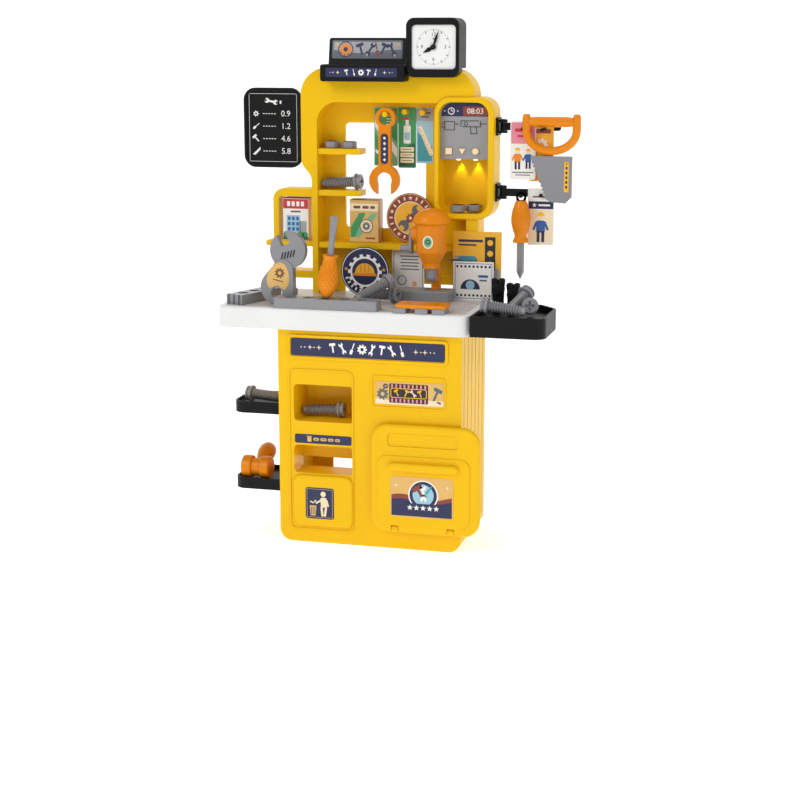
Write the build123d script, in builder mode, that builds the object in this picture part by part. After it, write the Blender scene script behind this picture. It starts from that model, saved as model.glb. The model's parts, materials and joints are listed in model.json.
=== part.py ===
"""Toy workbench: a cabinet with a drop-down door, a worktop, a tall back frame and its play tools.

Millimetres.  The origin is the centre of the cabinet's underside; +X is the user's right,
+Y points away from the user and +Z is up.
"""
from build123d import *
import os

os.makedirs("parts", exist_ok=True)

# Driving dimensions -------------------------------------------------------------------------

WALL = 3.0                      # moulded wall of the large shells
CAB_X, CAB_H = 112.0, 261.0     # half width and height of the cabinet
FRONT, REAR = -65.0, 65.0       # front and rear faces of the cabinet
FOOT_R = 15.0                   # round of the cabinet's lower corners

TOP_Z = 286.0                   # top of the worktop
TOP_LEFT, TOP_RIGHT = -186.0, 123.3
TOP_FRONT, TOP_REAR = -76.0, 87.0
INLAY_T = 0.8                   # plank-patterned sheet let into the worktop

DOOR = (4.7, 136.5, 22.0, 153.5)        # left, right, low, high
DOOR_T, DOOR_GAP = 8.0, 1.5
HINGE_Z = DOOR[2] + DOOR_T / 2
HINGE_Y = FRONT - DOOR_GAP - DOOR_T / 2
HINGE_X = (34.0, 102.0)
PIN_R, PIN_FIT = 2.0, 0.1               # pin radius and its radial clearance

FRAME_Y0, FRAME_Y1 = 51.0, 85.0         # front and rear of the back frame
FRAME_TOP = 561.6
PANEL_Y = 80.0                          # front of the frame's back panel
FRAME_LEFT, LEG_LEFT = -118.0, -105.0
OPEN_LEFT, OPEN_TOP = -97.7, 520.5
LEG_RIGHT, LEG_INNER = 104.6, 89.7
SHELF_Z, SHELF_T = 350.0, 7.0           # top and thickness of the long shelf

ALCOVE = (50.5, 123.4, 383.0, 528.3)    # outside of the alcove cabinet
ALCOVE_Y = 47.0
NICHE = (55.8, 116.5, 389.7, 522.0)     # its inside
NICHE_R = 15.0
ALCOVE_BACK = 83.0

BOX = (56.0, 116.3, 454.5, 521.8)       # control box at the top of the alcove
BOX_Y, BOX_WALL = 57.0, 1.8
BUTTON_Z, BUTTON_TRAVEL = 464.0, 1.5
BUTTON_X = {"square": 66.6, "triangle": 83.2, "round": 99.4}
LAMP_X = (76.5, 97.4)

CLOCK = (18.2, 83.0, 551.0, 620.3)
CLOCK_Y = 35.0
CLOCK_CENTRE = (51.7, 586.4)

ARM_X, ARM_Y = 131.0, 69.0              # vertical pivot of both swing arms
ARM_Z = {"upper": 493.5, "lower": 415.0}
ARM_H, ARM_T = 9.0, 4.0
ARM_END = 200.0
HANG_Y = 55.0                           # middle plane of the tools that hang on the arms

BOLT_R, BOLT_LENGTH = 6.2, 44.0         # shank of the chunky play bolts
HEAD_R, HEAD_H = 10.0, 8.0
NUT_AF, NUT_H = 17.5, 8.5

DRILL_X, DRILL_Y = 55.0, 18.0           # axis of the toy drill press
CRANK_AXIS_Z = 368.0
SPINDLE_R = 3.0                         # crank shaft and chuck spindle

BAR = (-114.0, 12.0, -74.0, -50.0)      # long perforated bar on the worktop
BAR_H = 12.0


# Building blocks ----------------------------------------------------------------------------

def facing(y):
    """The upright plane at depth y, drawn with x to the right and z up, seen from the front."""
    return Plane(origin=(0, y, 0), x_dir=(1, 0, 0), z_dir=(0, -1, 0))


def slab(limits, front, back, radius=0.0, mode=Mode.ADD):
    """A block given by left, right, low and high, between two depths, with rounded corners."""
    left, right, low, high = limits
    with BuildSketch(facing(back)) as outline:
        with Locations(((left + right) / 2, (low + high) / 2)):
            if radius:
                RectangleRounded(right - left, high - low, radius)
            else:
                Rectangle(right - left, high - low)
    extrude(outline.sketch, amount=back - front, mode=mode)


def block(limits, low, high, radius=0.0, mode=Mode.ADD):
    """A block given by left, right, front and back, between two heights, rounded in plan."""
    left, right, front, back = limits
    with BuildSketch(Plane.XY.offset(low)) as outline:
        with Locations(((left + right) / 2, (front + back) / 2)):
            if radius:
                RectangleRounded(right - left, back - front, radius)
            else:
                Rectangle(right - left, back - front)
    extrude(outline.sketch, amount=high - low, mode=mode)


def arched(limits, front, back, radius, mode=Mode.ADD):
    """A block like slab's whose upper corners alone are rounded."""
    left, right, low, high = limits
    with BuildSketch(facing(back)) as outline:
        with Locations(((left + right) / 2, (low + high) / 2)):
            Rectangle(right - left, high - low)
        fillet(outline.vertices().group_by(Axis.Y)[-1], radius)
    extrude(outline.sketch, amount=back - front, mode=mode)


def rod(start, direction, radius, length, mode=Mode.ADD):
    """A round bar from a point along a direction."""
    with BuildSketch(Plane(origin=start, z_dir=direction)) as section:
        Circle(radius)
    extrude(section.sketch, amount=length, mode=mode)


def grown(limits, by):
    """Limits moved outwards by a margin."""
    left, right, low, high = limits
    return (left - by, right + by, low - by, high + by)


def frame_ring(limits, front, back, radius, width):
    """A raised border that follows a rounded rectangle."""
    slab(limits, front, back, radius)
    slab(grown(limits, -width), front - 1, back, max(radius - width, 0.5), mode=Mode.SUBTRACT)


def recess(limits, depth, radius):
    """A tray-shaped pocket behind the cabinet's front wall."""
    inner_back = FRONT + depth
    slab(grown(limits, 2.0), FRONT + WALL, inner_back + 2.0, radius + 2.0)
    slab(limits, FRONT, inner_back, radius, mode=Mode.SUBTRACT)


def save(piece, name):
    """Label a finished piece and write it to its own STEP file."""
    piece.part.label = name
    export_step(piece.part, f"parts/{name}.step")


# Cabinet ------------------------------------------------------------------------------------

COMPARTMENT = (-93.0, -19.3, 149.5, 194.0)
CHUTE = (-93.5, -19.8, 86.0, 120.0)
DOORWAY = (14.0, 100.0, 34.0, 146.0)
BIN_FRONT = (-94.0, -19.6, 21.0, 84.0)
SIGN = (-95.5, 92.0, 229.0, 250.0)
SIGN_T = 0.6

with BuildPart() as cabinet_front:
    with BuildSketch(facing(FRONT + WALL)) as front_outline:
        with Locations((0, CAB_H / 2)):
            Rectangle(2 * CAB_X, CAB_H)
        fillet(front_outline.vertices().group_by(Axis.Y)[0], FOOT_R)
    extrude(front_outline.sketch, amount=WALL)
    frame_ring(grown(SIGN, 4.0), FRONT - 2.0, FRONT, 5.0, 3.0)
    frame_ring((-99.5, -18.5, 15.0, 213.0), FRONT - 1.2, FRONT, 9.0, 2.0)
    frame_ring((3.0, 93.5, 171.0, 210.0), FRONT - 1.0, FRONT, 5.0, 2.0)
    slab(BIN_FRONT, FRONT - 4.5, FRONT, 10.0)
    fillet(cabinet_front.faces().sort_by(Axis.Y)[0].edges(), 3.0)
    recess(COMPARTMENT, 52.0, 5.0)
    recess(CHUTE, 34.0, 5.0)
    slab((CHUTE[0], CHUTE[1], CHUTE[2], 98.0), FRONT + 20, FRONT + 37, mode=Mode.SUBTRACT)
    slab(DOORWAY, FRONT, FRONT + WALL, 8.0, mode=Mode.SUBTRACT)
    for lug_x in HINGE_X:
        slab((lug_x - 4, lug_x + 4, HINGE_Z - 4, HINGE_Z + 4), HINGE_Y, FRONT)
        rod((lug_x - 4, HINGE_Y, HINGE_Z), (1, 0, 0), DOOR_T / 2, 8.0)
        rod((lug_x - 4, HINGE_Y, HINGE_Z), (1, 0, 0), PIN_R + PIN_FIT, 8.0, mode=Mode.SUBTRACT)
save(cabinet_front, "cabinet_front")

SCREW_Z = (30.0, 130.0, 235.0)
BOSS_X = CAB_X - WALL - 4.0
for side, hand in ((-1, "left"), (1, "right")):
    with BuildPart() as cabinet_side:
        with BuildSketch(facing(REAR)) as wall_section:
            with BuildLine():
                middle = CAB_X - WALL / 2
                FilletPolyline(
                    (side * middle, CAB_H), (side * middle, WALL / 2), (side * 96, WALL / 2),
                    radius=FOOT_R - WALL / 2,
                )
            trace(line_width=WALL)
        extrude(wall_section.sketch, amount=REAR - FRONT - WALL)
        for step in range(6):
            groove_y = FRONT + 14 + 20 * step
            block(
                (side * CAB_X - 0.9, side * CAB_X + 0.9, groove_y - 1.5, groove_y + 1.5),
                20, CAB_H - 4, mode=Mode.SUBTRACT,
            )
        for boss_z in SCREW_Z:
            rod((side * BOSS_X, REAR - WALL, boss_z), (0, -1, 0), 4.2, 12)
            rod((side * BOSS_X, REAR - WALL, boss_z), (0, -1, 0), 1.6, 10, mode=Mode.SUBTRACT)
        slab((-CAB_X + WALL, CAB_X - WALL, WALL, CAB_H), REAR - WALL, REAR, mode=Mode.SUBTRACT)
    save(cabinet_side, f"cabinet_{hand}_side")

with BuildPart() as cabinet_floor:
    block((-96, 96, FRONT + WALL, REAR), 0, WALL)
save(cabinet_floor, "cabinet_floor")

BACK_WINDOW = (-84.0, 84.0, 40.0, 225.0)
with BuildPart() as cabinet_back:
    with BuildSketch(facing(REAR)) as back_outline:
        with Locations((0, (WALL + CAB_H) / 2)):
            Rectangle(2 * (CAB_X - WALL), CAB_H - WALL)
        fillet(back_outline.vertices().group_by(Axis.Y)[0], FOOT_R - WALL)
    extrude(back_outline.sketch, amount=WALL)
    slab(BACK_WINDOW, REAR - WALL, REAR, 18.0, mode=Mode.SUBTRACT)
    for back_side in (-1, 1):
        for boss_z in SCREW_Z:
            rod((back_side * BOSS_X, REAR, boss_z), (0, -1, 0), 1.6, WALL, mode=Mode.SUBTRACT)
save(cabinet_back, "cabinet_back")

with BuildPart() as cabinet_screws:
    for screw_side in (-1, 1):
        for boss_z in SCREW_Z:
            rod((screw_side * BOSS_X, REAR + 2, boss_z), (0, -1, 0), 3.0, 2.0)
            rod((screw_side * BOSS_X, REAR, boss_z), (0, -1, 0), 1.45, 11.0)
            slab(
                (screw_side * BOSS_X - 2, screw_side * BOSS_X + 2, boss_z - 0.4, boss_z + 0.4),
                REAR + 1, REAR + 2, mode=Mode.SUBTRACT,
            )
            slab(
                (screw_side * BOSS_X - 0.4, screw_side * BOSS_X + 0.4, boss_z - 2, boss_z + 2),
                REAR + 1, REAR + 2, mode=Mode.SUBTRACT,
            )
save(cabinet_screws, "cabinet_screws")

SIGN_BOX_Y = 29.0
with BuildPart() as printed_labels:
    slab(SIGN, FRONT - SIGN_T, FRONT, 3.0)
    slab((-79.0, 9.4, 551.0, 562.0), SIGN_BOX_Y - SIGN_T, SIGN_BOX_Y, 1.5)
    slab((8.4, 91.0, 176.0, 203.0), FRONT - SIGN_T, FRONT, 2.0)
    slab((-92.0, -21.6, 122.5, 133.5), FRONT - SIGN_T, FRONT, 2.0)
    slab((-78.0, -42.6, 31.0, 69.3), FRONT - 4.5 - SIGN_T, FRONT - 4.5, 3.0)
save(printed_labels, "printed_labels")


# Storage door, which drops open on two pins along its lower edge -----------------------------

DOOR_FACE = HINGE_Y - DOOR_T / 2
DOOR_BACK = HINGE_Y + DOOR_T / 2
with BuildPart() as storage_door:
    slab(DOOR, DOOR_FACE, DOOR_BACK, 20.0)
    fillet(storage_door.faces().sort_by(Axis.Y)[0].edges(), 3.6)
    fillet(storage_door.faces().sort_by(Axis.Y)[-1].edges(), 3.6)
    slab((12.6, 125.0, 32.0, 116.5), DOOR_FACE - 1.5, DOOR_FACE, 12.0)
    fillet(storage_door.faces().sort_by(Axis.Y)[0].edges(), 1.2)
    slab((25.4, 110.2, 127.5, 143.6), DOOR_FACE - 1, DOOR_FACE + 1.4, 4.0, mode=Mode.SUBTRACT)
    slab((27.0, 111.8, 99.5, 109.0), DOOR_FACE - 8.0, DOOR_FACE - 1.5, 4.7)
    fillet(storage_door.faces().sort_by(Axis.Y)[0].edges(), 2.5)
    slab((15.0, 126.0, 36.0, 143.0), DOOR_BACK - 3.2, DOOR_BACK, 12.0, mode=Mode.SUBTRACT)
    for notch_x in HINGE_X:
        slab(
            (notch_x - 4.5, notch_x + 4.5, DOOR[2], HINGE_Z + 5), DOOR_FACE - 2, DOOR_BACK,
            mode=Mode.SUBTRACT,
        )
        rod((notch_x - 8, HINGE_Y, HINGE_Z), (1, 0, 0), PIN_R, 16)
save(storage_door, "storage_door")

with BuildPart() as door_label:
    slab((29.0, 105.8, 43.0, 92.3), DOOR_FACE - 1.5 - SIGN_T, DOOR_FACE - 1.5, 5.0)
save(door_label, "door_label")


# Worktop and the trays that hang on it and on the cabinet ------------------------------------

with BuildPart() as worktop:
    block((TOP_LEFT, TOP_RIGHT, TOP_FRONT, TOP_REAR), CAB_H, TOP_Z, 16.0)
    fillet(worktop.faces().sort_by(Axis.Z)[-1].edges(), 3.0)
    for cell in ((-181.0, -115.0), (-106.0, 106.0)):
        block((cell[0], cell[1], -70.0, 81.0), CAB_H, TOP_Z - 4, 11.0, mode=Mode.SUBTRACT)
    block((-178, 115, -68, 79), TOP_Z - INLAY_T, TOP_Z, 9.0, mode=Mode.SUBTRACT)
    block((113.0, TOP_RIGHT, 0, TOP_REAR), CAB_H, TOP_Z - 4, mode=Mode.SUBTRACT)
save(worktop, "worktop")

with BuildPart() as worktop_inlay:
    block((-178, 115, -68, 79), TOP_Z - INLAY_T, TOP_Z, 9.0)
save(worktop_inlay, "worktop_inlay")

TRAY = (TOP_RIGHT, 209.6, TOP_FRONT, 32.0)
TRAY_LOW = CAB_H + 1
TRAY_FLOOR = 278.0
with BuildPart() as bolt_tray:
    with BuildSketch(Plane.XY.offset(TRAY_LOW)) as tray_outline:
        with BuildLine():
            Polyline(
                (TRAY[0], TRAY[2]), (TRAY[1], TRAY[2]), (TRAY[1], TRAY[3] - 26),
                (TRAY[1] - 22, TRAY[3]), (TRAY[0], TRAY[3]), close=True,
            )
        make_face()
        fillet(tray_outline.vertices().sort_by(Axis.X)[-2:], 14.0)
    extrude(tray_outline.sketch, amount=TOP_Z - TRAY_LOW)
    with BuildSketch(Plane.XY.offset(TRAY_FLOOR)) as tray_inside:
        offset(tray_outline.sketch_local, amount=-3.0)
    extrude(tray_inside.sketch, amount=TOP_Z - TRAY_FLOOR, mode=Mode.SUBTRACT)
    block((TRAY[0] + 5, 180, -60, 18), TRAY_LOW, TRAY_FLOOR - 3, 6.0, mode=Mode.SUBTRACT)
save(bolt_tray, "bolt_tray")

SIDE_TRAYS = {"upper": 149.5, "lower": 54.0}
SIDE_TRAY_H, SIDE_TRAY_WALL, DISH = 14.0, 2.4, 5.0
SIDE_TRAY_PLAN = (-180.0, -CAB_X, -40.0, 30.0)
with BuildPart() as side_trays:
    for tray_z in SIDE_TRAYS.values():
        block(SIDE_TRAY_PLAN, tray_z, tray_z + SIDE_TRAY_H)
    fillet(side_trays.edges().filter_by(Axis.Z).group_by(Axis.X)[0], 14.0)
    for tray_z in SIDE_TRAYS.values():
        block(grown(SIDE_TRAY_PLAN, -SIDE_TRAY_WALL), tray_z + SIDE_TRAY_H - DISH,
              tray_z + SIDE_TRAY_H, 11.0, mode=Mode.SUBTRACT)
        block(grown(SIDE_TRAY_PLAN, -SIDE_TRAY_WALL), tray_z, tray_z + SIDE_TRAY_H - DISH - 3,
              11.0, mode=Mode.SUBTRACT)
save(side_trays, "side_trays")


# Back frame ---------------------------------------------------------------------------------

FRAME_R = 33.0
OPEN_R = 25.0
PEGS = ((-13.0, 506.5, 26.0), (8.0, 509.0, 12.0), (30.0, 508.5, 12.0))
PEG_R = 3.3
with BuildPart() as back_frame:
    with BuildSketch(facing(FRAME_Y1)) as frame_outline:
        with BuildLine():
            left_leg = Line((LEG_LEFT, TOP_Z), (LEG_LEFT, 424))
            swell = Spline(
                left_leg @ 1, ((LEG_LEFT + FRAME_LEFT) / 2, 438), (FRAME_LEFT, 452),
                tangents=((0, 1), (0, 1)),
            )
            rise = Line(swell @ 1, (FRAME_LEFT, FRAME_TOP - FRAME_R))
            shoulder = RadiusArc(rise @ 1, (FRAME_LEFT + FRAME_R, FRAME_TOP), FRAME_R)
            crest = Line(shoulder @ 1, (99.5 - FRAME_R, FRAME_TOP))
            right_shoulder = RadiusArc(crest @ 1, (99.5, FRAME_TOP - FRAME_R), FRAME_R)
            neck = Line(right_shoulder @ 1, (99.5, 500))
            jog = Line(neck @ 1, (LEG_RIGHT, 500))
            right_leg = Line(jog @ 1, (LEG_RIGHT, TOP_Z))
            Line(right_leg @ 1, left_leg @ 0)
        make_face()
    extrude(frame_outline.sketch, amount=FRAME_Y1 - FRAME_Y0)
    pocket = (OPEN_LEFT, LEG_INNER, 200.0, OPEN_TOP)
    slab(pocket, FRAME_Y0, PANEL_Y, OPEN_R, mode=Mode.SUBTRACT)
    slab((-200, 200, 200, TOP_Z), FRAME_Y0, FRAME_Y1, mode=Mode.SUBTRACT)
    slab((-70.5, 32.4, 366, 495), PANEL_Y, FRAME_Y1, 6.0, mode=Mode.SUBTRACT)
    with BuildSketch(facing(FRAME_Y1)) as flare:
        with BuildLine():
            flare_edge = Spline((-70.5, 392), (-67, 376), (-56, 366), tangents=((0, -1), (1, -0.3)))
            Polyline(flare_edge @ 1, (-56, 392), flare_edge @ 0)
        make_face()
    extrude(flare.sketch, amount=FRAME_Y1 - PANEL_Y, mode=Mode.SUBTRACT)
    slab((-72, LEG_INNER, TOP_Z - 1, 299), PANEL_Y, FRAME_Y1, mode=Mode.SUBTRACT)
    slab((-72, LEG_INNER, 299, 307), PANEL_Y - 5, PANEL_Y)
    slab(ALCOVE, FRAME_Y0, FRAME_Y1, 19.0, mode=Mode.SUBTRACT)
    slab((ALCOVE[0], 130, 395, 515), FRAME_Y0, FRAME_Y1, mode=Mode.SUBTRACT)
    slab((-80, 40, 528, 554), FRAME_Y0 + WALL, FRAME_Y1, 6.0, mode=Mode.SUBTRACT)
    slab((-113, -102, 460, 522), FRAME_Y0 + WALL, FRAME_Y1, 4.0, mode=Mode.SUBTRACT)
    for peg_x, peg_z, reach in PEGS:
        rod((peg_x, PANEL_Y, peg_z), (0, -1, 0), PEG_R, reach)
save(back_frame, "back_frame")

def shelf_board(right, top):
    """A shelf with a skirt round its open underside, between the left leg and its right end."""
    slab((OPEN_LEFT, right, top - SHELF_T, top), FRAME_Y0 + 2, PANEL_Y)
    slab(
        (OPEN_LEFT + 3, right - 4, top - SHELF_T, top - 2.5), FRAME_Y0 + 5, PANEL_Y - 3,
        mode=Mode.SUBTRACT,
    )


SHORT_SHELF_TOPS = {"upper": 464.5, "middle": 414.0}
with BuildPart() as short_shelves:
    for shelf_top in SHORT_SHELF_TOPS.values():
        shelf_board(-44.0, shelf_top)
save(short_shelves, "short_shelves")

with BuildPart() as long_shelf:
    shelf_board(LEG_INNER, SHELF_Z)
save(long_shelf, "long_shelf")

RACK = (-157.0, LEG_LEFT, 304.0, 414.7)
with BuildPart() as side_rack:
    with BuildSketch(facing(FRAME_Y1)) as rack_outline:
        with Locations(((RACK[0] + RACK[1]) / 2, (RACK[2] + RACK[3]) / 2)):
            Rectangle(RACK[1] - RACK[0], RACK[3] - RACK[2])
        fillet(rack_outline.vertices().group_by(Axis.X)[0], 14.0)
    extrude(rack_outline.sketch, amount=FRAME_Y1 - 56)
    slab((RACK[0] + 7, RACK[1] + 20, 350, 405), 56, FRAME_Y1, 4.0, mode=Mode.SUBTRACT)
    slab((RACK[0] + 7, RACK[1] + 20, 313, 343.5), 56, FRAME_Y1, 8.0, mode=Mode.SUBTRACT)
    slab((RACK[1], RACK[1] + 30, 300, 420), 56, FRAME_Y1, mode=Mode.SUBTRACT)
    slab((-167, RACK[0] + 1, 343.5, 350), 56, FRAME_Y1, 1.5)
save(side_rack, "side_rack")


# Alcove cabinet and its play control box -----------------------------------------------------

BATTERY_HATCH = (66.0, 106.0, 466.0, 500.0)
with BuildPart() as alcove_cabinet:
    slab(ALCOVE, ALCOVE_Y, FRAME_Y1, 19.0)
    fillet(alcove_cabinet.faces().sort_by(Axis.Y)[0].edges(), 2.0)
    slab(NICHE, ALCOVE_Y, ALCOVE_BACK, NICHE_R, mode=Mode.SUBTRACT)
    slab(BATTERY_HATCH, ALCOVE_BACK, FRAME_Y1, 3.0, mode=Mode.SUBTRACT)
save(alcove_cabinet, "alcove_cabinet")


def button_sketch(shape, size):
    """The outline of one of the three buttons."""
    if shape == "square":
        Rectangle(size, size)
    elif shape == "round":
        Circle(size / 2)
    else:
        with Locations((0, size / 10)):
            RegularPolygon(size * 0.62, 3, rotation=-90)


def button_solid(shape, size, front, back, mode=Mode.ADD):
    """A prism with a button's outline."""
    with BuildSketch(facing(back)) as outline:
        with Locations((BUTTON_X[shape], BUTTON_Z)):
            button_sketch(shape, size)
    extrude(outline.sketch, amount=back - front, mode=mode)


BUTTON_SIZE, BUTTON_FIT = 8.0, 0.6
with BuildPart() as control_box:
    arched(BOX, BOX_Y, ALCOVE_BACK, NICHE_R)
    arched(grown(BOX, -BOX_WALL), BOX_Y + BOX_WALL, ALCOVE_BACK, NICHE_R - BOX_WALL,
           mode=Mode.SUBTRACT)
    for shape in BUTTON_X:
        button_solid(
            shape, BUTTON_SIZE + BUTTON_FIT, BOX_Y, BOX_Y + BOX_WALL, mode=Mode.SUBTRACT
        )
    for lamp_x in LAMP_X:
        rod((lamp_x, 66, BOX[2]), (0, 0, 1), 2.5, BOX_WALL, mode=Mode.SUBTRACT)
save(control_box, "control_box")

BOARD_Y = 66.0
BUTTON_BACK = BOARD_Y - 1.6 - BUTTON_TRAVEL
for shape in BUTTON_X:
    with BuildPart() as button:
        button_solid(shape, BUTTON_SIZE, BOX_Y - 2.6, BUTTON_BACK)
        button_solid(shape, BUTTON_SIZE + 3.0, BOX_Y + BOX_WALL, BOX_Y + BOX_WALL + 1.2)
        fillet(button.faces().sort_by(Axis.Y)[0].edges(), 0.7)
    save(button, f"button_{shape}")

with BuildPart() as circuit_board:
    slab((60, 112, 460, 500), BOARD_Y, BOARD_Y + 1.6)
    for shape, switch_x in BUTTON_X.items():
        slab((switch_x - 3, switch_x + 3, BUTTON_Z - 3, BUTTON_Z + 3), BOARD_Y - 1.4, BOARD_Y)
    for corner_x in (64, 108):
        rod((corner_x, BOX_Y + BOX_WALL, 494), (0, 1, 0), 2.5, BOARD_Y - BOX_Y - BOX_WALL)
save(circuit_board, "circuit_board")

with BuildPart() as sound_disc:
    rod((86, BOX_Y + BOX_WALL, 484), (0, 1, 0), 10.0, 1.0)
save(sound_disc, "sound_disc")

with BuildPart() as button_cells:
    for cell_x in (73.5, 86.0, 98.5):
        rod((cell_x, BOARD_Y + 1.6, 484), (0, 1, 0), 5.8, 5.4)
save(button_cells, "button_cells")

with BuildPart() as battery_cover:
    slab(grown(BATTERY_HATCH, -0.2), ALCOVE_BACK, FRAME_Y1, 2.8)
    slab((70, 102, 488, 491), FRAME_Y1 - 0.8, FRAME_Y1, mode=Mode.SUBTRACT)
save(battery_cover, "battery_cover")

with BuildPart() as lamps:
    for lamp_x in LAMP_X:
        rod((lamp_x, 66, BOX[2] - 1.8), (0, 0, 1), 2.4, 1.8 + BOX_WALL)
        rod((lamp_x, 66, BOX[2] + BOX_WALL), (0, 0, 1), 3.2, 1.0)
save(lamps, "lamps")


# Sign, picture board and clock on the crest ---------------------------------------------------

SIGN_BOX = (-86.5, CLOCK[0], 545.8, 566.0)
with BuildPart() as sign_tray:
    slab(SIGN_BOX, SIGN_BOX_Y, FRAME_Y0, 3.0)
    fillet(sign_tray.faces().sort_by(Axis.Y)[0].edges(), 1.5)
    slab((SIGN_BOX[0] + 3, SIGN_BOX[1] - 3, 549, 570), SIGN_BOX_Y + 3, FRAME_Y0 - 3,
         mode=Mode.SUBTRACT)
    slab((SIGN_BOX[0] + 10, SIGN_BOX[1] - 10, FRAME_TOP - 3, 564), FRAME_Y0 - 4, FRAME_Y0,
         mode=Mode.SUBTRACT)
    block((SIGN_BOX[0] + 6, SIGN_BOX[1] - 6, FRAME_Y0 - 3, 62), FRAME_TOP, FRAME_TOP + 2.4)
save(sign_tray, "sign_tray")

PICTURE_X = (-82.5, 13.4)
PICTURE_LOW = FRAME_TOP + 2.4
with BuildPart() as picture_board:
    with BuildSketch(Plane.YZ.offset(PICTURE_X[0])) as board_section:
        with BuildLine():
            Polyline(
                (52.0, PICTURE_LOW), (60.0, PICTURE_LOW), (62.0, 597.0), (58.0, 597.0), close=True
            )
        make_face()
    extrude(board_section.sketch, amount=PICTURE_X[1] - PICTURE_X[0])
    fillet(picture_board.edges().filter_by(Axis.Y).group_by(Axis.Z)[-1], 3.0)
save(picture_board, "picture_board")

with BuildPart() as clock_case:
    slab(CLOCK, CLOCK_Y, 74, 10.0)
    fillet(clock_case.faces().sort_by(Axis.Y)[0].edges(), 2.0)
    slab((0, 100, 540, FRAME_TOP), FRAME_Y0, 80, mode=Mode.SUBTRACT)
    slab((25.2, 79.0, 560.5, 612.0), CLOCK_Y, CLOCK_Y + 3.5, 5.0, mode=Mode.SUBTRACT)
    slab((28.0, 76.0, FRAME_TOP + 4, 609.0), CLOCK_Y + 3.5, 71, 5.0, mode=Mode.SUBTRACT)
save(clock_case, "clock_case")

DIAL_Y = CLOCK_Y + 2.3
with BuildPart() as clock_dial:
    slab((25.2, 79.0, 560.5, 612.0), DIAL_Y, CLOCK_Y + 3.5, 5.0)
    rod((CLOCK_CENTRE[0], DIAL_Y, CLOCK_CENTRE[1]), (0, -1, 0), 1.5, DIAL_Y - CLOCK_Y + 0.6)
save(clock_dial, "clock_dial")


def clock_hand(tip, width, front, back):
    """A tapering hand from the clock's centre towards a tip, with a bored round boss."""
    start = Vector(*CLOCK_CENTRE)
    reach = Vector(*tip) - start
    across = reach.rotate(Axis.Z, 90).normalized() * width
    tail, widest = start - reach * 0.2, start + reach * 0.45
    with BuildSketch(facing(back)) as outline:
        with BuildLine():
            Polyline(tail, widest + across, start + reach, widest - across, close=True)
        make_face()
        with Locations(CLOCK_CENTRE):
            Circle(3.0)
            Circle(1.55, mode=Mode.SUBTRACT)
    extrude(outline.sketch, amount=back - front)


with BuildPart() as hour_hand:
    clock_hand((39.0, 579.4), 2.6, CLOCK_Y + 1.1, CLOCK_Y + 1.9)
save(hour_hand, "hour_hand")

with BuildPart() as minute_hand:
    clock_hand((58.2, 605.3), 1.7, CLOCK_Y - 0.1, CLOCK_Y + 0.7)
save(minute_hand, "minute_hand")

with BuildPart() as menu_board:
    menu_area = (-194.0, FRAME_LEFT - 1.0, 440.0, 537.0)
    slab(menu_area, 57, 62, 15.0)
    slab(grown(menu_area, -3.5), 57, 58.5, 11.5, mode=Mode.SUBTRACT)
    for clip_z in (468, 502):
        slab((FRAME_LEFT - 4, FRAME_LEFT, clip_z, clip_z + 8), 59, 70)
save(menu_board, "menu_board")


# Swing arms ---------------------------------------------------------------------------------

EAR = 3.0
with BuildPart() as arm_brackets:
    for arm_z in ARM_Z.values():
        half = ARM_H / 2 + 0.4
        slab((ALCOVE[1], ALCOVE[1] + 2.5, arm_z - 10.5, arm_z + 10.5), ARM_Y - 11, ARM_Y + 11)
        for low in (arm_z - half - EAR, arm_z + half):
            block((ALCOVE[1] + 2.5, ARM_X, ARM_Y - 4.5, ARM_Y + 4.5), low, low + EAR)
            rod((ARM_X, ARM_Y, low), (0, 0, 1), 4.5, EAR)
            rod((ARM_X, ARM_Y, low), (0, 0, 1), PIN_R, EAR, mode=Mode.SUBTRACT)
save(arm_brackets, "arm_brackets")

with BuildPart() as arm_pins:
    for arm_z in ARM_Z.values():
        pin_reach = ARM_H / 2 + 0.4 + EAR
        rod((ARM_X, ARM_Y, arm_z - pin_reach), (0, 0, 1), PIN_R, 2 * pin_reach)
        rod((ARM_X, ARM_Y, arm_z + pin_reach), (0, 0, 1), 3.0, 1.0)
save(arm_pins, "arm_pins")

ARM_PEGS = {"upper": ((155.0, 61.5), (181.0, 46.0)), "lower": ((178.0, 61.5), (156.5, 46.0))}
ARM_PEG_R, PEG_DROP = 2.0, 2.4
for level, arm_z in ARM_Z.items():
    with BuildPart() as swing_arm:
        block((ARM_X, ARM_END, ARM_Y - ARM_T / 2, ARM_Y + ARM_T / 2),
              arm_z - ARM_H / 2, arm_z + ARM_H / 2)
        fillet(swing_arm.edges().filter_by(Axis.Y).group_by(Axis.X)[-1], 3.0)
        rod((ARM_X, ARM_Y, arm_z - ARM_H / 2), (0, 0, 1), 4.2, ARM_H)
        rod((ARM_X, ARM_Y, arm_z - ARM_H / 2), (0, 0, 1), PIN_R + PIN_FIT, ARM_H,
            mode=Mode.SUBTRACT)
        for peg_x, peg_tip in ARM_PEGS[level]:
            rod((peg_x, ARM_Y, arm_z - PEG_DROP), (0, -1, 0), ARM_PEG_R, ARM_Y - peg_tip)
    save(swing_arm, f"{level}_arm")

PEG_Z = {level: arm_z - PEG_DROP for level, arm_z in ARM_Z.items()}
CARD_T = 0.8


def arm_card(limits, peg_x, peg_z, back):
    """A card with a round hole that hangs on an arm's peg."""
    slab(limits, back - CARD_T, back, 2.5)
    rod((peg_x, back, peg_z), (0, -1, 0), ARM_PEG_R + 0.1, CARD_T, mode=Mode.SUBTRACT)


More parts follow.
